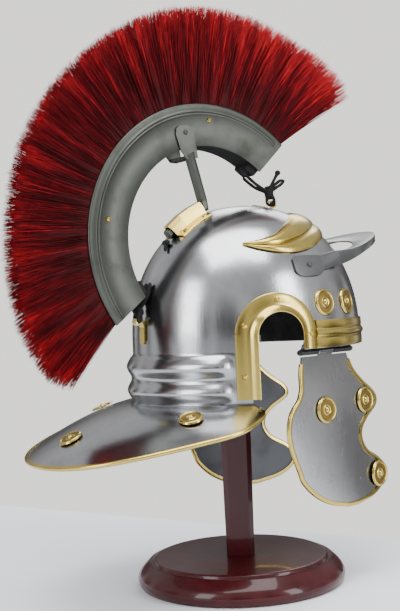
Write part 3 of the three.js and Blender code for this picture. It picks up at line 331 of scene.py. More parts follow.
def woodMaterial(name, along):
    material, shaders, links, surface = newMaterial(name)
    tree = material.node_tree
    place = shaders.new("ShaderNodeTexCoord").outputs["Object"]
    grain = noiseOn(tree, place, 90, 5, along)
    broad = noiseOn(tree, place, 14, 3, tuple(max(0.25, a) for a in along))
    both = maths(tree, "ADD", maths(tree, "MULTIPLY", grain, 0.65), maths(tree, "MULTIPLY", broad, 0.35))
    tone = mixColour(tree, spread(tree, both, 0.3, 0.72, 0, 1), lacquer["deep"], lacquer["bright"])
    links.new(tone, surface.inputs["Base Color"])
    links.new(spread(tree, both, 0.3, 0.7, 0.26, 0.36), surface.inputs["Roughness"])
    surface.inputs["Specular IOR Level"].default_value = 0.16
    surface.inputs["Coat Weight"].default_value = 0.35
    surface.inputs["Coat Roughness"].default_value = 0.05
    addRelief(shaders, links, surface, grain, 0.12, 0.0004)
    return material


wood = woodMaterial("cherryBase", (0.07, 1, 1))
postWood = woodMaterial("cherryPost", (1, 1, 0.05))

# hair colours: painted shade at the root, the hair's deep red in the middle, a painted highlight at the tips,
# and a shade tone for painted shade
hair = {"rootShadeTone": (0.034, 0.0010, 0.0022, 1), "midTone": (0.125, 0.0032, 0.0065, 1),
        "tipHighlightTone": (0.52, 0.015, 0.021, 1), "shade": (0.035, 0.001, 0.002, 1), "root": 0.130, "tip": 0.246}


# Streaks that run out from the crest's centre, with painted shade at the root and a painted highlight at the
# tips; the darker argument mixes in more painted shade.
def hairMaterial(name, darker):
    material, shaders, links, surface = newMaterial(name)
    tree = material.node_tree
    split = shaders.new("ShaderNodeSeparateXYZ")
    links.new(shaders.new("ShaderNodeTexCoord").outputs["Object"], split.inputs[0])
    y = maths(tree, "SUBTRACT", split.outputs[1], crest["y"] * mm)
    z = maths(tree, "SUBTRACT", split.outputs[2], crest["z"] * mm)
    turn = maths(tree, "ARCTAN2", z, y)
    squares = maths(tree, "ADD", maths(tree, "MULTIPLY", y, y), maths(tree, "MULTIPLY", z, z))
    reach = maths(tree, "SQRT", squares)
    join = shaders.new("ShaderNodeCombineXYZ")
    across = maths(tree, "MULTIPLY", split.outputs[0], 9.0)
    for k, value in enumerate((turn, across, maths(tree, "MULTIPLY", reach, 0.35))):
        links.new(value, join.inputs[k])
    fine = noiseOn(tree, join.outputs[0], 95, 2)
    locks = noiseOn(tree, join.outputs[0], 17, 2)
    along = spread(tree, reach, hair["root"], hair["tip"], 0, 1)
    along = maths(tree, "ADD", along, spread(tree, fine, 0.3, 0.7, -0.30, 0.30))
    along = maths(tree, "ADD", along, spread(tree, locks, 0.35, 0.65, -0.32, 0.22))
    ramp = shaders.new("ShaderNodeValToRGB")
    ramp.color_ramp.elements[0].color = hair["rootShadeTone"]
    ramp.color_ramp.elements[1].color = hair["tipHighlightTone"]
    middle = ramp.color_ramp.elements.new(0.45)
    middle.color = hair["midTone"]
    links.new(along, ramp.inputs[0])
    links.new(mixColour(tree, darker, ramp.outputs[0], hair["shade"]), surface.inputs["Base Color"])
    links.new(spread(tree, fine, 0.3, 0.7, 0.38, 0.62), surface.inputs["Roughness"])
    surface.inputs["Specular IOR Level"].default_value = 0.08
    return material


# the bowl: same form as the solid, with more rows for clean reflections
bowl = {"halfWidth": 100, "halfLength": 118, "centre": -19.6, "spring": 239.7, "rise": 128.6, "power": 2.15,
        "brow": 228, "neckDrop": 45, "ribHeight": 4.2, "ribReach": 10, "ribFoot": 10.2, "ribStep": 2.5,
        "ribSpacing": 22.5, "sheet": 1.4, "columns": 200, "rows": 56, "wallRows": 44}
ear = {"centre": 12, "spring": 242.7, "radius": 26, "strip": 12.3, "flange": 5.5, "leafRoom": -90.7}
neck = {"reach": 111, "slope": 22, "curl": 1.6}
gap = 0.3
neckLevel = bowl["brow"] - bowl["neckDrop"]


def domeShare(z, inset=0):
    rise = (z - bowl["spring"]) / (bowl["rise"] - inset)
    return 1 if rise <= 0 else max(0, 1 - rise ** bowl["power"]) ** (1 / bowl["power"])


def bowlPoint(angle, z, inset=0):
    share = domeShare(z, inset)
    return Vector(((bowl["halfWidth"] - inset) * share * math.cos(angle),
                   bowl["centre"] + (bowl["halfLength"] - inset) * share * math.sin(angle), z))


def bowlLevel(p):
    plan = (p.x / bowl["halfWidth"]) ** 2 + ((p.y - bowl["centre"]) / bowl["halfLength"]) ** 2
    return plan ** (bowl["power"] / 2) + max(0, (p.z - bowl["spring"]) / bowl["rise"]) ** bowl["power"]


def bowlNormal(p):
    d = 0.01
    slope = [bowlLevel(p + Vector(s)) - bowlLevel(p - Vector(s)) for s in ((d, 0, 0), (0, d, 0), (0, 0, d))]
    return Vector(slope).normalized()


def ontoBowl(point, direction):
    low, high = -40.0, 40.0
    for _ in range(40):
        middle = (low + high) / 2
        if bowlLevel(point + direction * middle) < 1:
            low = middle
        else:
            high = middle
    return point + direction * low


def sidePoint(y, z, lift=0):
    plan = max(0, domeShare(z) ** 2 - ((y - bowl["centre"]) / bowl["halfLength"]) ** 2)
    p = Vector((-bowl["halfWidth"] * math.sqrt(plan), y, z))
    return p + bowlNormal(p) * lift


def ribPush(angle, z):
    rearEdge = ear["centre"] + ear["radius"] + ear["strip"]
    behind = bowl["centre"] + bowl["halfLength"] * math.sin(angle) - rearEdge
    fade = smooth(behind, 0.5, ear["strip"])
    upper = neckLevel + bowl["ribFoot"] + bowl["ribSpacing"]
    total = bowl["ribStep"] * (1 - smooth(z, bowl["brow"] - 4, bowl["brow"]))
    for centre in (upper, upper - bowl["ribSpacing"]):
        total += bowl["ribHeight"] * math.cos(math.pi / 2 * min(1, abs(z - centre) / bowl["ribReach"])) ** 1.4
    return fade * total


# A wall of the bowl's plan, open below, between two insets.
def shellMesh(name, inset, thickness, bottom, material):
    wallRows = [mix(bottom, bowl["spring"], k / bowl["wallRows"]) for k in range(bowl["wallRows"])]
    rings = []
    for column in range(bowl["columns"]):
        angle = 2 * math.pi * column / bowl["columns"]
        ring = []
        for depth, order in ((inset, 1), (inset + thickness, -1)):
            dome = [bowl["spring"] + (bowl["rise"] - depth) * math.sin(math.pi / 2 * k / bowl["rows"])
                    for k in range(bowl["rows"] + 1)]
            side = []
            for z in wallRows + dome[:-1]:
                side.append(bowlPoint(angle, z, depth - ribPush(angle, z)))
            side.append(Vector((0, bowl["centre"], bowl["spring"] + bowl["rise"] - depth)))
            ring += side[::order]
        rings.append(ring)
    return loft(name, rings, material, ringClosed=True, sharp=None)


# The outline of the ear opening; the liner's is cut higher behind leafRoom, for the hinge leaves.
def cutterMesh(brow, high, margin, rear):
    radius, far, bottom = ear["radius"] + margin, 300, neckLevel - 20
    outline = [(-far, bottom), (-far, brow)]
    if high > brow:
        outline += [(ear["leafRoom"], brow), (ear["leafRoom"], high)]
    outline.append((ear["centre"] - radius, high))
    for k in range(49):
        angle = math.pi * (1 - k / 48)
        outline.append((ear["centre"] + radius * math.cos(angle), ear["spring"] + radius * math.sin(angle)))
    outline.append((ear["centre"] + radius, rear))
    if rear > bottom:
        outline += [(far, rear), (far, bottom)]
    rings = [[Vector((x, y, z)) for y, z in outline] for x in (-220, 220)]
    return loft("cutter", rings, steel, sharp=None)


def cutAway(thing, cutter, sharp=35):
    change = thing.modifiers.new("cut", "BOOLEAN")
    change.operation = "DIFFERENCE"
    change.object = cutter
    change.solver = "EXACT"
    shape = bpy.data.meshes.new_from_object(thing.evaluated_get(bpy.context.evaluated_depsgraph_get()))
    thing.modifiers.clear()
    material = thing.data.materials[0]
    thing.data = shape
    shape.materials.clear()
    shape.materials.append(material)
    shape.shade_smooth()
    shape.set_sharp_from_angle(angle=rad(sharp))
    bpy.data.objects.remove(cutter)


# wall angle, rim angle and reach of the neck guard, as in the solid
neckRows = [(29.6, 29.6, 0.05), (31, 27, 0.13), (33.5, 27.8, 0.21), (37.5, 31, 0.3), (42, 35, 0.4),
            (46, 40, 0.48), (52, 47, 0.56), (58, 54.5, 0.655), (66, 63.5, 0.78), (74, 72.5, 0.9),
            (82, 81, 0.975), (90, 90, 1), (98, 99, 0.975)]


def neckPoint(row, share):
    wall, rim, reach = row
    start = bowlPoint(rad(wall), neckLevel, bowl["sheet"] / 2)
    foot = bowlPoint(rad(rim), neckLevel, -bowl["ribStep"])
    away = bowlNormal(Vector((foot.x, foot.y, bowl["spring"] - 1)))
    p = start.lerp(foot + away * reach * neck["reach"], share)
    p.z = neckLevel - math.tan(rad(neck["slope"])) * reach * neck["reach"] * share ** neck["curl"]
    return p


def neckStations():
    steps = 8
    return [tuple(row) for row in spline(neckRows, steps)[:-steps]]


def neckGuard():
    shares = [k / 22 for k in range(23)]
    left = []
    for row in neckStations():
        top = [neckPoint(row, s) for s in shares]
        left.append(top + [Vector((p.x, p.y, p.z - bowl["sheet"])) for p in reversed(top)])
    rings = flip(left) + left[:-1][::-1]
    return loft("neckGuard", rings, steel, sharp=50)


bowlShape = shellMesh("bowlShell", 0, bowl["sheet"], neckLevel - 2, steel)
cutAway(bowlShape, cutterMesh(bowl["brow"], bowl["brow"], 0, 0))
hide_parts("bowl")
guard = neckGuard()
trim = 1.2  # brass sheet
liner = {"inset": bowl["sheet"] + trim + 3.6 * gap, "thickness": 2}
linerShape = shellMesh("linerShell", liner["inset"], liner["thickness"], bowl["brow"], leather)
cutAway(linerShape, cutterMesh(bowl["brow"] + 1, bowl["brow"] + 8, 3, bowl["brow"] + 1))
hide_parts("liner")
print("bowl, neck guard and liner made")

# folded brass edging: a rounded channel beside the edge of a sheet


def edging(name, edges, inners, normals, cover, body="helmet", clear=0.0, replacing=None):
    half, lip = bowl["sheet"] / 2 + gap + 0.05, 0.95
    section = [(-cover, half + lip * 0.8)]
    section += [(gap * 0.4 + (lip + 0.5) * math.sin(a), (half + lip) * math.cos(a)) for a in
                [math.pi * (k + 0.5) / 8 for k in range(8)]]
    section += [(-cover, -half - lip * 0.8), (-cover, -half), (gap, -half), (gap, half), (-cover, half)]
    rings = []
    for k, edge in enumerate(edges):
        along = (edges[min(len(edges) - 1, k + 1)] - edges[max(0, k - 1)]).normalized()
        normal = (normals[k] - along * normals[k].dot(along)).normalized()
        out = along.cross(normal).normalized()
        if out.dot(edge - inners[k]) < 0:
            out.negate()
        rings.append([edge + out * (u + clear) + normal * v for u, v in section])
    thing = loft(name, rings, brass, sharp=60, body=body)
    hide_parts(replacing)
    return thing


def neckEdging():
    rows = neckStations()[5:]
    drop = Vector((0, 0, -bowl["sheet"] / 2))

    def line(share):
        left = [neckPoint(row, share) + drop for row in rows]
        return [mirrored(p) for p in left] + left[:-1][::-1]

    edges, inners = line(1), line(0.9)
    normals = []
    for k, edge in enumerate(edges):
        along = edges[min(len(edges) - 1, k + 1)] - edges[max(0, k - 1)]
        normal = along.cross(edge - inners[k]).normalized()
        normals.append(-normal if normal.z < 0 else normal)
    edging("neckEdging", edges, inners, normals, 2.3, clear=bowl["sheet"] * 0.3,
           replacing="neck_guard_edging")


neckEdging()

# ear guards


def earGuard(side):
    path = [(ear["centre"] - ear["radius"], bowl["brow"] + 0.6, -1, 0)]
    for k in range(49):
        a = math.pi * (1 - k / 48)
        path.append((ear["centre"] + ear["radius"] * math.cos(a), ear["spring"] + ear["radius"] * math.sin(a),
                     math.cos(a), math.sin(a)))
    for k in range(1, 13):
        path.append((ear["centre"] + ear["radius"], mix(ear["spring"], neckLevel + 3, k / 12), 1, 0))
    reach, strip, top = ear["flange"], ear["strip"], gap + trim
    section = [(strip - 0.3, gap), (strip * 0.6, gap), (strip * 0.3, gap), (1.2, gap), (-0.6, gap + 0.5)]
    section += [(-reach * 0.6, gap + reach * 0.62), (-reach - 0.1, reach + gap + 0.1),
                (-reach - 0.15, reach + gap + 0.9), (-reach + 0.5, reach + gap + 1.2),
                (-reach * 0.5, reach * 0.5 + gap + 1.5)]
    section += [(0, top + 0.6), (1.6, top), (strip * 0.3, top + 0.25), (strip * 0.6, top + 0.25),
                (strip - 1, top), (strip, top - 0.4), (strip, gap + 0.2)]
    rings = [[sidePoint(y + oy * away, z + oz * away, lift + gap) for away, lift in section]
             for y, z, oy, oz in path]
    thing = loft("earGuard_" + side, rings if side == "right" else flip(rings), brass, sharp=50)
    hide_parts("ear_guard_" + side)


for side in ("right", "left"):
    earGuard(side)

# brow band, brow guard and crescent
band = {"height": 25.5, "bead": 1.5}
peak = {"halfWidth": 86, "halfLength": 133, "centre": -40, "level": 313.645, "rise": 4, "slope": 0.3,
        "width": 32, "flange": 7.2, "tab": 19, "turn": 77}


def browBand():
    startY = ear["centre"] - ear["radius"] - ear["strip"] - gap
    start = math.asin((startY - bowl["centre"]) / bowl["halfLength"])
    skin = 2 * gap + 0.25
    face = skin + trim
    section = [(0, skin), (0, face - 0.3), (0.02, face), (0.3, face), (0.335, face - 0.5), (0.37, face)]
    for k in range(9):
        section.append((mix(0.4, 0.62, k / 8), face + band["bead"] * math.sin(math.pi * k / 8) ** 0.7))
    section += [(0.65, face), (0.685, face - 0.5), (0.72, face), (0.98, face), (1, face - 0.3), (1, skin)]
    rings = []
    for k in range(121):
        angle = mix(math.pi - start, 2 * math.pi + start, k / 120)
        foot = bowl["brow"] + 2 * gap
        rings.append([bowlPoint(angle, foot + s * band["height"], -lift) for s, lift in section])
    thing = loft("browBand", rings, brass, sharp=35)
    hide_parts("brow_band")


def peakShelf(y):
    before = peak["centre"] - peak["halfLength"] * 0.39 - y
    return peak["level"] + peak["rise"] + peak["slope"] * 0.5 * (before + math.hypot(before, 20))


def browGuard():
    rows = []
    for k in range(40):
        a = rad(peak["turn"] * k / 39)

        def rim(inward, fall=0.0):
            y = peak["centre"] - (peak["halfLength"] - inward) * math.cos(a)
            return Vector((-(peak["halfWidth"] - inward) * math.sin(a), y, peakShelf(y) - fall))

        width = peak["width"] * math.cos(a) ** 2 + 2.8
        depth = peak["flange"] + (peak["tab"] - peak["flange"] - 2) * math.sin(a) ** 12
        rows.append([rim(width, 0.3), rim(width - 0.3), rim(width * 0.5), rim(1.3), rim(0.35, 0.25),
                     rim(0, 1.3), rim(0, depth * 0.6), rim(0, depth), rim(1.4, depth), rim(1.4, 2.6),
                     rim(2.6, 1.4), rim(width, 1.4)])
    tabs = [(-50, 0, 0.72), (-42, 0, 0.95), (-32, 0, 1), (-21, 0.02, 1), (-16, 0.06, 0.9),
            (-13.5, 0.16, 0.75)]
    skin, sheet = gap + 0.2, bowl["sheet"]
    for y, top, depth in spline(tabs, 4):
        high = peak["level"] - top * peak["tab"] + 0.6
        low = peak["level"] - depth * peak["tab"]
        outline = [(high - 0.4, 0), (high - 0.1, 0.4), (high, sheet * 0.7), (high - 0.3, sheet)]
        outline += [(mix(high, low, 0.3), sheet), (mix(high, low, 0.6), sheet), (low + 0.4, sheet)]
        outline += [(low, sheet * 0.7), (low, 0)] + [(mix(low, high, s), 0) for s in (0.3, 0.6, 0.9)]
        rows.append([sidePoint(y, z, skin + lift) for z, lift in outline])
    rings = rows[::-1] + flip(rows[1:])
    thing = loft("browGuard", rings, guardSteel, sharp=45)
    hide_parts("brow_guard")


# turn from the front, upper edge and lower edge as shares of the dome's rise
crescent = [(0, 0.928, 0.832), (16, 0.924, 0.822), (32, 0.915, 0.785), (48, 0.905, 0.737),
            (60, 0.894, 0.695), (70, 0.88, 0.656), (80, 0.84, 0.623), (90, 0.795, 0.604),
            (98, 0.747, 0.606), (106, 0.712, 0.62), (114, 0.69, 0.643), (121, 0.681, 0.672)]


def browCrescent():
    relief = [(0, 0.12), (0, 0.45), (0.02, 0.56), (0.1, 0.78), (0.2, 0.93), (0.3, 1), (0.42, 0.97),
              (0.5, 0.88), (0.54, 0.78), (0.552, 0.6), (0.562, 0.33), (0.6, 0.36), (0.66, 0.56),
              (0.73, 0.7), (0.8, 0.74), (0.9, 0.66), (0.97, 0.5), (1, 0.38), (1, 0.12), (0.66, 0.12),
              (0.33, 0.12)]
    rows = []
    for turn, upper, lower in spline(crescent, 7)[::-1]:
        thin = min(1, (upper - lower) / 0.09)
        ring = []
        for share, height in relief:
            p = bowlPoint(rad(turn - 90), bowl["spring"] + bowl["rise"] * mix(upper, lower, share))
            ring.append(p + bowlNormal(p) * (gap + 0.8 + max(0, height - 0.12) * 4.4 * mix(0.35, 1, thin)))
        rows.append(ring)
    thing = loft("browCrescent", flip(rows) + rows[:-1][::-1], brass, sharp=42)
    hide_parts("brow_crescent")


browBand()
browGuard()
browCrescent()
print("brow pieces made")

# rosettes and rivets
rosette = {"radius": 12.7, "neckRadius": 11.2, "height": 3.6, "foot": 0.7}
# radius and height shares from the middle out
rosetteRings = [(0, 1.0), (0.06, 0.98), (0.12, 0.9), (0.17, 0.74), (0.21, 0.5), (0.24, 0.36), (0.28, 0.38),
                (0.32, 0.5), (0.36, 0.5), (0.4, 0.36), (0.44, 0.31), (0.56, 0.33), (0.7, 0.3), (0.74, 0.31),
                (0.78, 0.46), (0.84, 0.6), (0.9, 0.58), (0.96, 0.34), (1.0, 0.1), (0.985, 0)]


def rosetteMesh(name, radius, foot, place, node, body="helmet"):
    count = 72
    points, faces = [], []
    for share, height in rosetteRings:
        for k in range(count):
            a = 2 * math.pi * k / count
            lift = height * rosette["height"]
            points.append(Vector((share * radius * math.cos(a), share * radius * math.sin(a), lift)))
    rows = len(rosetteRings)
    shaded = []
    for i in range(1, rows - 1):
        middle = (rosetteRings[i][0] + rosetteRings[i + 1][0]) / 2
        for k in range(count):
            j = (k + 1) % count
            faces.append((i * count + k, i * count + j, (i + 1) * count + j, (i + 1) * count + k))
            # faces in the two recessed rings take the darker brass as painted shade
            shaded.append(0.19 < middle < 0.29 or 0.39 < middle < 0.77)
    points.append(Vector((0, 0, rosette["height"])))
    top = len(points) - 1
    for k in range(count):
        faces.append((top, count + (k + 1) % count, count + k))
    points.append(Vector((0, 0, -foot)))
    bottom = len(points) - 1
    last = (rows - 1) * count
    for k in range(count):
        faces.append((bottom, last + k, last + (k + 1) % count))
    points = [place(p) for p in points]
    used = sorted({v for f in faces for v in f})
    renumber = {v: i for i, v in enumerate(used)}
    faces = [tuple(renumber[v] for v in f) for f in faces]
    thing = makeMesh(name, [points[v] for v in used], faces, brass, 50, body)
    thing.data.materials.append(brassPaintedShade)
    for face, shade in zip(thing.data.polygons, shaded):
        face.material_index = int(shade)
    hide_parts(node)


def standing(place, normal):
    turn = up.rotation_difference(normal)

    def put(p):
        return turn @ p + place
    return put


def wrapped(place):
    normal = bowlNormal(place)
    along = up.cross(normal).normalized()
    rise = normal.cross(along)

    def put(p):
        return ontoBowl(place + along * p.x + rise * p.y, normal) + normal * (p.z + gap)
    return put


def mirroredPut(put):
    def other(p):
        return mirrored(put(p))
    return other


# place along the bowl and height of the brow rosettes
browPlaces = [(-41.55, 270.18), (-76.95, 270.05)]
for k, (y, z) in enumerate(browPlaces):
    put = wrapped(sidePoint(y, z))
    for side, way in (("right", put), ("left", mirroredPut(put))):
        label = "%d_%s" % (k + 1, side)
        rosetteMesh("browRosette_" + label, rosette["radius"], 0, way, "brow_rosette_" + label)


def neckRosette(row, share):
    place = neckPoint(row, share)
    out = neckPoint(row, share + 0.06) - neckPoint(row, share - 0.06)
    turn = neckPoint((row[0] + 3, row[1] + 3, row[2]), share) - place
    normal = out.cross(turn).normalized()
    if normal.z < 0:
        normal.negate()
    return standing(place + normal * (gap + rosette["foot"] + 0.2), normal)


put = neckRosette((55, 52.5, 0.62), 0.5)
foot = rosette["foot"] + 0.2
for side, way in (("left", put), ("right", mirroredPut(put)), ("rear", neckRosette((90, 90, 1), 0.7))):
    rosetteMesh("neckRosette_" + side, rosette["neckRadius"], foot, way, "neck_rosette_" + side)

# cheek guards
hinge = {"level": 224.5, "rearX": 90.975, "rearY": -13.7, "frontX": 76.859, "frontY": -86.7}
cheek = {"drop": 149, "span": 73, "bulge": 4}
knuckle = {"from": 0.34, "to": 0.62, "clear": 0.25, "radius": 2.9, "bore": 1.55, "webHalf": 0.7,
           "webTop": -1.9, "webFoot": -7.4}
# height below the hinge, rear edge and front edge, as shares of drop and span
cheekRows = [(0.027, 0.025, 0.9), (0.09, 0.008, 0.95), (0.15, -0.008, 1.025), (0.225, -0.01, 1.19),
             (0.29, -0.06, 1.375), (0.34, -0.155, 1.45), (0.39, -0.215, 1.415), (0.455, -0.243, 1.22),
             (0.525, -0.238, 1.09), (0.6, -0.2, 1.085), (0.675, -0.142, 1.19), (0.74, -0.085, 1.42),
             (0.81, -0.02, 1.555), (0.9, 0.18, 1.49), (0.965, 0.44, 1.27), (1, 0.76, 0.94)]
# the same shares for the middle of each rosette, and its foot
cheekRosettes = [(0.4, 0.37, 0.7), (1.19, 0.345, 0.7), (1.39, 0.838, 1.9)]


def cheekPoint(forward, down, lift=0.0):
    y = hinge["rearY"] - forward * cheek["span"]
    settle = smooth(down, 0.02, 0.45)
    centre = hinge["rearY"] - cheek["span"] * 0.55
    slope = (hinge["rearX"] - hinge["frontX"]) / (hinge["rearY"] - hinge["frontY"])
    middle = hinge["rearX"] - slope * (hinge["rearY"] - centre)
    twist = mix(slope, slope * 0.6, down)
    across = (y - centre) / (cheek["span"] * 0.85)
    x = middle + twist * (y - centre) + settle * cheek["bulge"] * (1 - across * across)
    return Vector((-x - lift, y - lift * twist, hinge["level"] - down * cheek["drop"]))


def cheekOutline():
    rows = spline(cheekRows, 6)
    down = rows[:, 0]
    keep = [0]
    for k in range(1, len(rows)):
        if down[k] > down[keep[-1]] + 0.0015:
            keep.append(k)
    return [tuple(rows[k]) for k in keep]


def cheekGuard(side):
    shares = [k / 24 for k in range(25)]
    rings = []
    half = bowl["sheet"] / 2
    for down, rear, front in cheekOutline():
        outer = [cheekPoint(mix(rear, front, s), down, half) for s in shares]
        inner = [cheekPoint(mix(rear, front, s), down, -half) for s in reversed(shares)]
        rings.append(outer + inner)
    body = "cheek_" + side
    sided = rings if side == "right" else flip(rings)
    plate = loft("cheekPlate_" + side, sided, cheekSteel, sharp=50, body=body)
    darkenInside(plate, darkSteel, side)
    knuckleAndWeb(side, body)
    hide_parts("cheek_guard_" + side)
    rows = cheekOutline()[4:]
    points = [(rear, down, mix(rear, front, 0.3)) for down, rear, front in rows]
    points += [(front, down, mix(front, rear, 0.3)) for down, rear, front in reversed(rows)]
    edges = [cheekPoint(f, d) for f, d, _ in points]
    inners = [cheekPoint(i, d) for _, d, i in points]
    normals = [cheekPoint(f, d, 1) - cheekPoint(f, d) for f, d, _ in points]
    if side == "left":
        edges, inners, normals = flip((edges, inners, normals))
    edging("cheekEdging_" + side, edges, inners, normals, 2.6, body, replacing="cheek_edging_" + side)
    for k, (forward, down, foot) in enumerate(cheekRosettes):
        place = cheekPoint(forward, down, half + gap + foot)
        along = cheekPoint(forward + 0.02, down) - cheekPoint(forward - 0.02, down)
        fall = cheekPoint(forward, down + 0.02) - cheekPoint(forward, down - 0.02)
        normal = along.cross(fall).normalized()
        put = standing(place, -normal if normal.x > 0 else normal)
        way = put if side == "right" else mirroredPut(put)
        label = "%d_%s" % (k + 1, side)
        rosetteMesh("cheekRosette_" + label, rosette["radius"], foot, way, "cheek_rosette_" + label, body)


# A bored tube between two places, its ends slightly rounded.
def barrel(name, start, end, radius, bore, material, body):
    way = (end - start).normalized()
    side = way.cross(up).normalized()
    rise = way.cross(side)
    length = (end - start).length
    soft = 0.3
    profile = [(bore, 0), (radius - soft, 0), (radius, soft), (radius, length - soft),
               (radius - soft, length), (bore, length)]
    rings = []
    for k in range(28):
        a = 2 * math.pi * k / 28
        out = side * math.cos(a) + rise * math.sin(a)
        rings.append([start + way * along + out * r for r, along in profile])
    return loft(name, rings, material, ringClosed=True, sharp=40, body=body)


def hingePlace(share, side):
    sign = -1 if side == "right" else 1
    rear = Vector((sign * hinge["rearX"], hinge["rearY"], hinge["level"]))
    front = Vector((sign * hinge["frontX"], hinge["frontY"], hinge["level"]))
    return rear.lerp(front, share)


def knuckleAndWeb(side, body):
    a, b = hingePlace(knuckle["from"], side), hingePlace(knuckle["to"], side)
    way = (b - a).normalized()
    ends = (a + way * knuckle["clear"], b - way * knuckle["clear"])
    piece = barrel("cheekKnuckle_" + side, *ends, knuckle["radius"], knuckle["bore"], cheekSteel, body)
    out = Vector((-knuckle["webHalf"] if side == "right" else knuckle["webHalf"], 0, 0))
    top, foot = knuckle["webTop"], knuckle["webFoot"]
    corners = ((1, top), (-1, top), (-1, foot), (1, foot))
    rings = [[p + out * sx + Vector((0, 0, z)) for sx, z in corners] for p in ends]
    loft("cheekWeb_" + side, rings, cheekSteel, body=body)


for side in ("right", "left"):
    cheekGuard(side)
    dress("hinge_leaf_" + side, guardSteel)
    dress("hinge_pin_" + side, guardSteel)
print("cheek guards made")

# crest
crest = {"y": 31.5, "z": 339.3, "inner": 84, "depth": 40.5, "half": 14, "from": -38.8, "to": 136.6,
         "flare": 6.2, "bead": 1.1, "sheet": 1.4, "seat": 7.6}
crestMiddle = (crest["from"] + crest["to"]) / 2
# distance in from the outer edge and height share of the two pressed beads
crestBeads = [(11.6, 0), (11, 0.45), (10.2, 1), (9.3, 0.95), (8.6, 0.25), (7.9, 0.95), (7, 1), (6.2, 0.45),
              (5.6, 0)]


def crestPoint(degrees, depth, x):
    end = (degrees - crestMiddle) / (crest["to"] - crestMiddle)
    radius = crest["inner"] + crest["flare"] * min(1.4, end * end) + depth
    a = rad(degrees)
    return Vector((x, crest["y"] + radius * math.cos(a), crest["z"] + radius * math.sin(a)))


def crestPlate(side):
    face = -crest["half"]
    depth, sheet = crest["depth"], crest["sheet"]
    rings = []
    for k in range(141):
        angle = mix(crest["from"], crest["to"], k / 140)
        raised = crest["bead"] * smooth(angle, crest["from"], crest["from"] + 1.5)
        raised *= 1 - smooth(angle, crest["to"] - 4.5, crest["to"] - 3)
        section = [(0, face + 0.2), (0.25, face), (depth * 0.4, face)]
        section += [(depth - back, face - raised * share) for back, share in crestBeads]
        section += [(depth - 2, face + 0.05), (depth - 0.9, face + 0.3), (depth - 0.2, face + 0.8)]
        section += [(depth, face + sheet), (depth * 0.5, face + sheet), (0, face + sheet)]
        rings.append([crestPoint(angle, d, x) for d, x in section])
    thing = loft("crestPlate_" + side, rings if side == "right" else flip(rings), greySteel, sharp=50)
    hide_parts("crest_plate_" + side)


for side in ("right", "left"):
    crestPlate(side)

hairBrush = {"length": 113, "spread": 17, "root": 11.6, "from": -43, "to": 142.5, "strands": 16500,
             "tufts": 620, "seed": 7, "thin": 0.32, "thick": 0.55}
# angle round the crest and share of the full length there
hairTips = np.array([(-43, 0.62), (-38, 0.69), (-27, 0.7), (-7, 0.66), (10, 0.64), (25, 0.665), (39, 0.68),
                     (48, 0.69), (57, 0.72), (65, 0.745), (78, 0.8), (89, 0.84), (100, 0.87), (113, 0.905),
                     (122, 0.925), (128, 0.965), (135, 1), (140, 1), (142.5, 0.93)])


def crestPoints(degrees, depth, x):
    end = (degrees - crestMiddle) / (crest["to"] - crestMiddle)
    radius = crest["inner"] + crest["flare"] * np.minimum(1.4, end * end) + depth
    a = np.radians(degrees)
    return np.stack([x, crest["y"] + radius * np.cos(a), crest["z"] + radius * np.sin(a)], -1)


# A solid backing for the plume's body, its hair colour mixed darker: painted shade between the strands.
def hairBacking():
    rings = []
    root = crest["half"] - crest["sheet"] - 2 * gap
    half = [(0, 1), (0.12, 1), (0.5, 1.02), (0.85, 0.98), (1, 0.3)]
    section = [(out, -x) for out, x in half] + half[::-1]
    for k in range(161):
        share = k / 160
        foot = mix(crest["from"] + 1.2, crest["to"] - 1.2, share)
        tip = mix(hairBrush["from"] + 1.6, hairBrush["to"] - 1.6, share)
        length = hairBrush["length"] * float(np.interp(tip, hairTips[:, 0], hairTips[:, 1])) * 0.90
        wave = 1.2 * math.sin(share * 173)
        length -= 2.5 + 2.5 * math.sin(share * 241)
        ring = []
        for out, x in section:
            width = mix(root - 0.5, 11.5 + wave, min(1, out * 1.2))
            depth = crest["depth"] - crest["seat"] + gap + out * (crest["seat"] + length)
            ring.append(crestPoint(mix(foot, tip, out), depth, x * width))
        rings.append(ring)
    thing = loft("plumeBacking", rings, hairMaterial("plumeShade", 0.55), sharp=None)
    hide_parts("crest_plume")


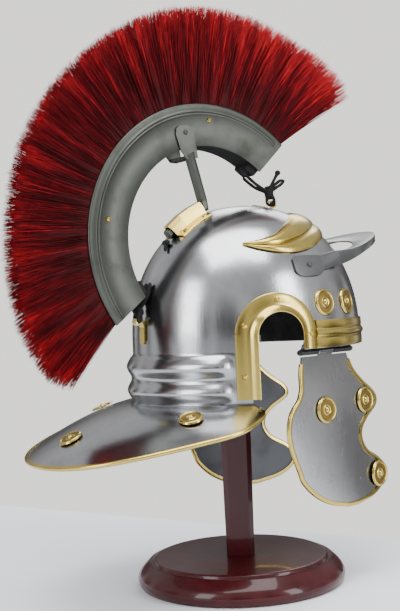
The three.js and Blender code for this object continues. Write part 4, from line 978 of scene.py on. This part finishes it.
# Strands between two shares of the plume's width, gathered in tufts, each a tapering three-sided hair.
def hairStrands(name, material, low, high, seed):
    rng = np.random.default_rng(seed)
    count = hairBrush["strands"] // 3
    tuft = rng.integers(0, hairBrush["tufts"], count)
    tuftShare = rng.uniform(0, 1, hairBrush["tufts"])
    tuftSide = rng.uniform(low, high, hairBrush["tufts"])
    tuftLength = rng.normal(0, 1, hairBrush["tufts"])
    tuftLean = rng.normal(0, 1, hairBrush["tufts"])
    share = rng.uniform(0, 1, count)
    share = np.clip(share + rng.normal(0, 0.004, count), 0, 1)
    near = np.argsort(tuftShare)
    tuft = near[np.clip((share * hairBrush["tufts"]).astype(int), 0, hairBrush["tufts"] - 1)]
    side = mix(rng.uniform(low, high, count), tuftSide[tuft], 0.25)
    foot = mix(crest["from"] + 0.8, crest["to"] - 0.8, share)
    first, last = hairBrush["from"] + 0.6, hairBrush["to"] - 0.6
    tip = mix(first, last, share)
    tip = mix(tip, mix(first, last, tuftShare[tuft]), 0.25 * (share > 0.01))
    tip = tip + 0.25 * tuftLean[tuft] + rng.normal(0, 0.45, count)
    tip = np.clip(tip, hairBrush["from"], hairBrush["to"])
    full = hairBrush["length"] * np.interp(tip, hairTips[:, 0], hairTips[:, 1])
    edge = 1 - 0.10 * np.abs(side) ** 3
    length = full * edge * (0.985 + 0.014 * tuftLength[tuft]) + 2.6 - np.abs(rng.normal(0, 3.4, count))
    length = np.minimum(length, full + 3)
    inner, wide = hairBrush["root"], hairBrush["spread"]
    steps = np.array([0, 0.1, 0.28, 0.5, 0.72, 0.88, 1.0])
    bend = rng.normal(0, 0.5, count)
    sway = rng.normal(0, 0.5, count)
    thick = rng.uniform(hairBrush["thin"], hairBrush["thick"], count)
    points = []
    for t in steps:
        depth = crest["depth"] - crest["seat"] + 1.5 + t * (crest["seat"] + length - 1.5)
        angle = mix(foot, tip, t) + bend * math.sin(math.pi * t) * 0.55
        x = side * mix(inner, wide, t ** 0.8) + sway * math.sin(2 * math.pi * t) * 0.8
        x = np.clip(x, -wide, wide)
        x = np.where(depth < crest["depth"] + 1.5, np.clip(x, -inner, inner), x)
        points.append(crestPoints(angle, depth, x))
    points = np.stack(points, 1)  # strand, step, xyz
    away = points[:, -1] - points[:, 0]
    away /= np.linalg.norm(away, axis=1, keepdims=True)
    across = np.cross(away, np.array([1.0, 0, 0]))
    across /= np.linalg.norm(across, axis=1, keepdims=True)
    along = np.cross(away, across)
    corners = []
    for corner in range(3):
        a = 2 * math.pi * corner / 3
        offset = across * math.cos(a) + along * math.sin(a)
        taper = (1 - 0.8 * steps ** 2)[None, :, None] * thick[:, None, None]
        corners.append(points + offset[:, None, :] * taper)
    vertices = np.stack(corners, 2).reshape(-1, 3) * mm
    rows = len(steps)
    base = np.arange(count)[:, None, None] * rows * 3
    row = np.arange(rows - 1)[None, :, None] * 3
    corner = np.arange(3)[None, None, :]
    following = (corner + 1) % 3
    here = base + row
    quads = np.stack([here + corner, here + following, here + 3 + following, here + 3 + corner], -1)
    quads = quads.reshape(-1, 4)
    mesh = bpy.data.meshes.new(name)
    mesh.vertices.add(len(vertices))
    mesh.vertices.foreach_set("co", vertices.astype(np.float32).ravel())
    mesh.loops.add(len(quads) * 4)
    mesh.loops.foreach_set("vertex_index", quads.astype(np.int32).ravel())
    mesh.polygons.add(len(quads))
    mesh.polygons.foreach_set("loop_start", (np.arange(len(quads)) * 4).astype(np.int32))
    mesh.update(calc_edges=True)
    mesh.validate()
    mesh.shade_smooth()
    mesh.materials.append(material)
    thing = addObject(name, mesh)
    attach(thing, "helmet")


hairBacking()
redHair = hairMaterial("plumeHair", 0.0)
thirds = [("plumeHair_right", -1, -0.35), ("plumeHair_middle", -0.6, 0.6), ("plumeHair_left", 0.35, 1)]
for k, (name, low, high) in enumerate(thirds):
    hairStrands(name, redHair, low, high, hairBrush["seed"] + k)
print("crest and plume made")

# stand
base = {"radius": 101.6, "top": 85, "height": 26}


def standBase():
    r, t, h = base["radius"], base["top"], base["height"]
    profile = [(0, 0), (r - 6, 0), (r - 4.6, 0.3)]
    for k in range(25):
        angle = (mix(0.03, 1, k / 24) - 0.32) * (math.pi / 1.45)
        profile.append((mix(t + 4, r, math.cos(angle)), mix(0.03, 1, k / 24) * (h - 3)))
    profile += [(t + 2.6, h - 4.0), (t + 1, h - 3.8), (t + 0.4, h - 3), (t + 0.1, h - 1.6),
                (t - 0.5, h - 0.6), (t - 1.6, h - 0.1), (t - 3, h), (0, h)]
    rings = []
    for k in range(160):
        a = 2 * math.pi * k / 160
        rings.append([Vector((radius * math.cos(a), radius * math.sin(a), z)) for radius, z in profile])
    thing = loft("standFoot", rings, wood, ringClosed=True, sharp=35)
    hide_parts("stand_base")


standBase()
soften = nodes["stand_post"].modifiers.new("soften", "BEVEL")
soften.width = 0.0012
soften.segments = 3
soften.limit_method = "ANGLE"
soften.angle_limit = rad(30)
dress("stand_post", postWood)
dress("stand_cap", wood)
dress("crest_core", laceLeather)

# metal and lace pieces whose solids stay
for node in nodes:
    if "rivet" in node and "brow_guard" not in node:
        dress(node, brass)
    if "brow_guard_rivet" in node or node == "crest_strut":
        dress(node, greySteel)
for node in ("crest_holder", "front_hook", "rear_hook"):
    dress(node, brass)
for node in ("front_tie", "rear_tie", "holder_knot"):
    dress(node, laceLeather)
    nodes[node].modifiers.new("weld", "WELD").merge_threshold = 0.00002
    rounder = nodes[node].modifiers.new("round", "SUBSURF")
    rounder.levels = rounder.render_levels = 1
    fuller = nodes[node].modifiers.new("fuller", "DISPLACE")
    fuller.strength = 0.0006
    fuller.mid_level = 0
print("stand and fittings made")

# floor and light
floorMaterial, floorNodes, floorLinks, floorSurface = newMaterial("paleCloth")
floorTree = floorMaterial.node_tree
cloth = noiseOn(floorTree, floorNodes.new("ShaderNodeTexCoord").outputs["Object"], 3, 3)
clothTone = mixColour(floorTree, cloth, (0.86, 0.89, 0.94, 1), (0.92, 0.94, 0.98, 1))
floorLinks.new(clothTone, floorSurface.inputs["Base Color"])
floorSurface.inputs["Roughness"].default_value = 0.6
table = {"edge": Vector((0.557, 0.029, 0)), "along": Vector((-0.904, -0.427, 0)), "half": 3.0, "deep": 4.0}


def stagePlane(name, corners, material):
    mesh = bpy.data.meshes.new(name)
    mesh.from_pydata([tuple(c) for c in corners], [], [(0, 1, 2, 3)])
    mesh.materials.append(material)
    plane = addObject(name, mesh)


inward = Vector((table["along"].y, -table["along"].x, 0))
ends = [table["edge"] + table["along"] * k * table["half"] for k in (1, -1)]
back = inward * table["deep"]
stagePlane("floor", [ends[0], ends[1], ends[1] + back, ends[0] + back], floorMaterial)


def softLight(name, place, aim, size, power, colour=(1, 1, 1)):
    data = bpy.data.lights.new(name, "AREA")
    data.shape = "RECTANGLE"
    data.size, data.size_y = size
    data.energy = power
    data.color = colour
    light = addObject(name, data)
    light.location = place
    light.rotation_euler = (Vector(aim) - Vector(place)).to_track_quat("-Z", "Y").to_euler()


softLight("overhead", (-0.5, 0.2, 1.9), (0, 0, 0.25), (1.6, 1.2), 44)
softLight("leftWindow", (-0.5, 2.0, 0.9), (0, 0, 0.3), (0.7, 1.5), 26)
softLight("rightWindow", (-2.0, -0.9, 0.8), (0, 0, 0.3), (0.6, 1.6), 30)
softLight("behind", (0.9, -0.9, 1.3), (0, 0, 0.3), (0.9, 0.7), 8)

world = bpy.data.worlds.new("room")
bpy.context.scene.world = world
world.use_nodes = True
worldTree = world.node_tree
direction = worldTree.nodes.new("ShaderNodeTexCoord").outputs["Generated"]
parts = worldTree.nodes.new("ShaderNodeSeparateXYZ")
worldTree.links.new(direction, parts.inputs[0])
height = spread(worldTree, parts.outputs[2], -0.5, 0.6, 0, 1)
tone = worldTree.nodes.new("ShaderNodeValToRGB")
tone.color_ramp.elements[0].color = (0.16, 0.16, 0.165, 1)
tone.color_ramp.elements[1].color = (0.75, 0.75, 0.76, 1)
wallBand = tone.color_ramp.elements.new(0.46)
wallBand.color = (0.86, 0.85, 0.83, 1)
worldTree.links.new(height, tone.inputs[0])
# a room of pale walls with darker furniture and door openings
furniture = spread(worldTree, noiseOn(worldTree, direction, 3.1, 2, (1, 1, 0.3)), 0.43, 0.53, 0, 0.94)
furniture = maths(worldTree, "MULTIPLY", furniture, spread(worldTree, parts.outputs[2], 0.15, 0.5, 1, 0.2))
room = mixColour(worldTree, furniture, tone.outputs[0], (0.035, 0.03, 0.032, 1))
# the camera sees the plain wall behind the table, and the metal reflects the whole room
seen = worldTree.nodes.new("ShaderNodeLightPath").outputs["Is Camera Ray"]
backdrop = mixColour(worldTree, seen, room, (1.25, 1.23, 1.19, 1))
worldTree.links.new(backdrop, worldTree.nodes["Background"].inputs[0])
worldTree.nodes["Background"].inputs[1].default_value = 1.15
print("light set")
